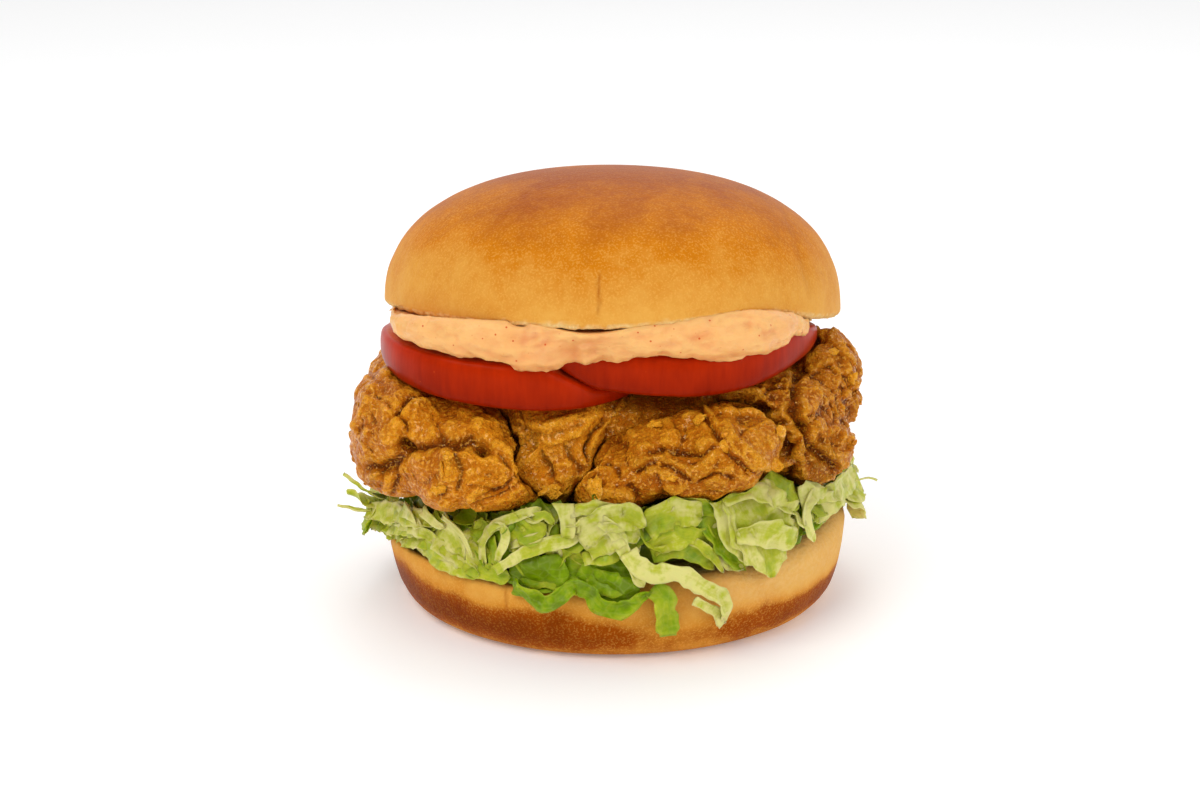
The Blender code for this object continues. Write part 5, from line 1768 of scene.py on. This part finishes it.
def fill_front(bun, bm, layers):
    """Leaves at the front between and behind those of the photograph, drawn at random."""
    draw = random.Random(8)
    for i in range(FRONT_FILL):
        across = FRONT_FILL_START + FRONT_FILL_SPAN * (i + draw.uniform(0.0, 1.0)) / FRONT_FILL
        lean = draw.uniform(-34.0, 34.0)
        high = np.interp(across, *zip(*HEAP_TOP)) + 3.0
        low = np.interp(across + lean, *zip(*HEAP_FOOT))
        reach = draw.uniform(0.55, 0.98)
        stations = []
        for share, out in ((0.0, -3.0), (0.35, -0.6), (0.7, 0.5), (1.0, 0.3)):
            column = across + share * lean + draw.uniform(-7.0, 7.0)
            stations.append(photo_point(bun, column, high + (low - high) * reach * share, out))
        width = draw.uniform(3.5, 9.0)
        widths = (width * 0.8, width, width * draw.uniform(0.3, 0.8))
        ruffle, cup, tilt = draw.uniform(0.6, 1.3), draw.uniform(0.0, 0.9), draw.uniform(-5.0, 30.0)
        shade = draw.choice((0.2, 0.35, 0.5, 0.65, 0.8))
        add_leaf(bm, layers, stations, widths, ruffle, cup, tilt, shade, salt=2.9 * i)


# Ways a leaf at the back may lie: how far it stands out past the heel and its height in
# millimetres, the turn of its end in degrees, and the length of that end in millimetres.
BACK_WAYS = (
    (3.0, 21.5, -80.0, 5.0), (1.5, 26.0, -55.0, 4.0), (5.0, 27.0, 12.0, 2.5), (2.2, 24.0, -100.0, 3.0),
)


def hang_back(bun, bm, layers, draw):
    """Leaves that hang out over the heel at the sides and the back."""
    for i in range(BACK_LEAVES):
        angle = math.radians(-8.0 + 196.0 * (i + draw.uniform(0.2, 0.8)) / BACK_LEAVES)
        past, height, turned, tail = draw.choice(BACK_WAYS)
        reach = heel_reach(bun, angle) + (past + draw.uniform(-0.5, 1.5)) * MM
        lowest = heel_top(bun, reach * math.cos(angle)) + 1.8 * MM
        level = max(lowest, (height + draw.uniform(-1.0, 2.0)) * MM)
        start = draw.uniform(26.0, 32.5) * MM
        sway = draw.uniform(-0.20, 0.20)
        route = round_route(angle, sway, start, reach, level, math.radians(turned), tail * MM)
        width = draw.uniform(4.0, 13.0)
        widths = (width * draw.uniform(0.6, 1.0), width, width * draw.uniform(0.3, 0.9))
        shade = draw.choice((0.05, 0.15, 0.25, 0.35, 0.5, 0.85))
        ruffle, cup, tilt = draw.uniform(0.6, 1.4), draw.uniform(-0.4, 0.9), draw.uniform(10.0, 60.0)
        add_leaf(bm, layers, route, widths, ruffle, cup, tilt, shade, draw.uniform(0.45, 0.8), 5.3 * i)


def fill_round(bun, bm, layers, draw):
    """Leaves all round, darkened with painted shade, which fill the space between the heel and the chicken.
    """
    for i in range(FILL_LEAVES):
        angle = 2.0 * math.pi * (i + draw.uniform(0.1, 0.9)) / FILL_LEAVES
        reach = heel_reach(bun, angle) - draw.uniform(0.5, 3.5) * MM
        height = draw.uniform(23.0, 34.0) * MM
        level = max(heel_top(bun, reach * math.cos(angle)) + 2.5 * MM, height)
        sway, start = draw.uniform(-0.35, 0.35), draw.uniform(27.0, 34.0) * MM
        turned = math.radians(draw.uniform(-90.0, 20.0))
        route = round_route(angle, sway, start, reach, level, turned, draw.uniform(0.5, 2.5) * MM)
        width = draw.uniform(5.0, 12.0)
        ruffle, cup, tilt = draw.uniform(0.6, 1.3), draw.uniform(-0.3, 0.8), draw.uniform(0.0, 70.0)
        shade = draw.uniform(0.25, 0.85)
        widths = (width, width, 0.6 * width)
        add_leaf(bm, layers, route, widths, ruffle, cup, tilt, shade, 0.6, 7.1 * i, deep=0.35)


def make_lettuce(bun, filling):
    """The heap of lettuce: a rumpled core with painted shade, the leaves that the photograph shows, and the
    rest.
    """
    material = leaf_material(filling)
    chicken_tree = tree_of(FOLDS)
    bm, layers = leaf_mesh()
    for i, (route, *leaf) in enumerate(FRONT_LEAVES):
        stations = [photo_point(bun, *station) for station in route]
        add_leaf(bm, layers, stations, *leaf, salt=3.7 * i)
    fill_front(bun, bm, layers)
    finish_leaves(bm, "Lettuce.Front", bun, material, chicken_tree, ["lettuce"])
    draw = random.Random(21)
    bm, layers = leaf_mesh()
    hang_back(bun, bm, layers, draw)
    fill_round(bun, bm, layers, draw)
    finish_leaves(bm, "Lettuce.Round", bun, material, chicken_tree, [])
    make_heap_core(bun, material)


# The core's outline: share of its radius and level, out from below, up and in.
CORE_OUTLINE = (
    (0.5, 0.0), (0.9, 0.0), (0.97, 0.06), (1.0, 0.25), (0.985, 0.5), (0.975, 0.75), (0.95, 0.94), (0.88, 1.0),
    (0.5, 1.0),
)


def make_heap_core(bun, material):
    """The inside of the heap, green with painted shade and rumpled, which shows only between the leaves."""

    def place(angle, share, level):
        spot = outward(angle, 0.6 * level)
        bulge = 1.0 + 0.035 * noise.noise(spot * 4.0) + 0.02 * abs(noise.noise(spot * 11.0))
        x = share * bulge * CORE_RADIUS * math.cos(angle)
        y = share * bulge * CORE_RADIUS * math.sin(angle)
        low = heel_top(bun, x) + 0.5 * MM
        high = CHICKEN_FLOOR + CHICKEN_FLOOR_SLOPE * x - 0.5 * MM
        return Vector((x, y, low + (high - low) * level))

    rings = [[place(angle, *row) for angle in turns(CORE_SEGMENTS)] for row in CORE_OUTLINE]
    mesh = shell("Core", rings, (place(0.0, 0.0, 0.0), place(0.0, 0.0, 1.0)))
    keep_value(mesh, "tone", np.full(len(mesh.vertices), 0.7))
    # Painted shade over the whole core.
    keep_value(mesh, "deep", np.full(len(mesh.vertices), 0.35))
    layer = mesh.attributes.new("leaf_place", "FLOAT_VECTOR", "POINT")
    layer.data.foreach_set("vector", read_points(mesh).ravel())
    return dressed(linked("Lettuce.Core", mesh), material, [])


def studio_world():
    """White surroundings, brighter behind the burger than in front of it, and plain white to look at."""
    world = bpy.data.worlds.new("Studio")
    world.use_nodes = True
    wires = Wires(world.node_tree)
    backdrop = world.node_tree.nodes["Background"].inputs
    direction = wires.add("ShaderNodeTexCoord").outputs["Generated"]
    axes = wires.add("ShaderNodeSeparateXYZ", {0: direction}).outputs
    glow = wires.span(axes[1], -0.6, 0.9, 0.50, 0.95)
    seen = wires.add("ShaderNodeLightPath").outputs["Is Camera Ray"]
    backdrop["Color"].default_value = (1.0, 1.0, 1.0, 1.0)
    wires.feed(backdrop["Strength"], wires.sum("MAXIMUM", seen, glow))
    return world


def make_stage():
    """Floor, soft studio light and the photograph's camera."""
    bpy.ops.mesh.primitive_plane_add(size=8.0, location=(0.0, 0.0, 0.0))
    floor = bpy.context.object
    floor.name = "Floor"
    made, wires, shader = surface("Pale paper", 0.75, specular_ior_level=0.2)
    shade = wires.mottled(wires.place(), 0.4, 0.6)
    wires.feed(shader["Base Color"], wires.blend(shade, (0.94, 0.94, 0.94), (0.96, 0.96, 0.96)))
    # The paper glows faintly and evenly, which keeps it white and lights the food a little from below.
    shader["Emission Color"].default_value = (1.0, 1.0, 1.0, 1.0)
    shader["Emission Strength"].default_value = 0.14
    floor.data.materials.append(made)

    for name, place, size, power in (
        ("Key light", (-0.45, -0.65, 0.85), 0.80, 5.1),
        ("Fill light", (0.75, -0.60, 0.40), 0.80, 2.2),
        ("Top light", (0.10, 0.45, 0.95), 0.80, 2.4),
    ):
        lamp = bpy.data.lights.new(name, "AREA")
        lamp.shape = "DISK"
        lamp.size = size
        lamp.energy = power
        light = linked(name, lamp)
        light.location = place
        light.rotation_euler = (CAMERA_TARGET - Vector(place)).to_track_quat("-Z", "Y").to_euler()
    bpy.context.scene.world = studio_world()
    bpy.context.scene.view_settings.view_transform = "Standard"

    data = bpy.data.cameras.new("Photo camera")
    data.lens = CAMERA_LENS
    data.sensor_width = CAMERA_SENSOR
    camera = linked("Photo camera", data)
    camera.location = CAMERA_PLACE
    camera.rotation_euler = (-CAMERA_TOWARDS).to_track_quat("-Z", "Y").to_euler()
    bpy.context.scene.camera = camera


class BURGER_OT_bun(bpy.types.Operator):
    """Makes the crown and the heel of the bun"""

    bl_idname = "burger.bun"
    bl_label = "Make bun"

    def execute(self, context):
        make_crown(context.scene.burger_bun)
        make_heel(context.scene.burger_bun)
        return {"FINISHED"}


class BURGER_OT_tomatoes(bpy.types.Operator):
    """Makes the two tomato slices"""

    bl_idname = "burger.tomatoes"
    bl_label = "Make tomato slices"

    def execute(self, context):
        make_tomatoes(context.scene.burger_bun, context.scene.burger_filling)
        return {"FINISHED"}


class BURGER_OT_sauce(bpy.types.Operator):
    """Makes the sauce"""

    bl_idname = "burger.sauce"
    bl_label = "Make sauce"

    def execute(self, context):
        make_sauce(context.scene.burger_bun, context.scene.burger_filling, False)
        return {"FINISHED"}


class BURGER_OT_chicken(bpy.types.Operator):
    """Makes the four pieces of fried chicken and their flakes"""

    bl_idname = "burger.chicken"
    bl_label = "Make fried chicken"

    def execute(self, context):
        scene = context.scene
        make_chicken(scene.burger_bun, scene.burger_filling, scene.burger_chicken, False)
        return {"FINISHED"}


class BURGER_OT_lettuce(bpy.types.Operator):
    """Makes the heap of lettuce"""

    bl_idname = "burger.lettuce"
    bl_label = "Make lettuce"

    def execute(self, context):
        make_lettuce(context.scene.burger_bun, context.scene.burger_filling)
        return {"FINISHED"}


class BURGER_OT_stage(bpy.types.Operator):
    """Makes the floor, the lights and the camera"""

    bl_idname = "burger.stage"
    bl_label = "Set the stage"

    def execute(self, context):
        make_stage()
        return {"FINISHED"}


class BURGER_PT_panel(bpy.types.Panel):
    """Lists the burger's sizes, colours and pieces"""

    bl_idname = "BURGER_PT_panel"
    bl_label = "Chicken burger"
    bl_space_type = "VIEW_3D"
    bl_region_type = "UI"
    bl_category = "Burger"

    def draw(self, context):
        for name in SETTINGS:
            settings = getattr(context.scene, name)
            box = self.layout.box()
            for key in settings.__annotations__:
                box.prop(settings, key)
        for operator in OPERATORS:
            self.layout.operator(operator.bl_idname)


SETTINGS = {
    "burger_bun": BunSettings,
    "burger_filling": FillingSettings,
    "burger_chicken": ChickenSettings,
}
OPERATORS = (
    BURGER_OT_bun,
    BURGER_OT_tomatoes,
    BURGER_OT_sauce,
    BURGER_OT_chicken,
    BURGER_OT_lettuce,
    BURGER_OT_stage,
)


def register():
    """Registers the settings, the operators and the panel."""
    for name, group in SETTINGS.items():
        bpy.utils.register_class(group)
        setattr(bpy.types.Scene, name, bpy.props.PointerProperty(type=group))
    for part in (*OPERATORS, BURGER_PT_panel):
        bpy.utils.register_class(part)


def unregister():
    """Takes back what register did."""
    for part in (BURGER_PT_panel, *reversed(OPERATORS)):
        bpy.utils.unregister_class(part)
    for name, group in reversed(SETTINGS.items()):
        delattr(bpy.types.Scene, name)
        bpy.utils.unregister_class(group)


def main():
    """Makes every piece in turn."""
    register()
    bpy.ops.burger.bun()
    bpy.ops.burger.tomatoes()
    bpy.ops.burger.sauce()
    bpy.ops.burger.chicken()
    bpy.ops.burger.lettuce()
    bpy.ops.burger.stage()


if __name__ == "__main__":
    main()
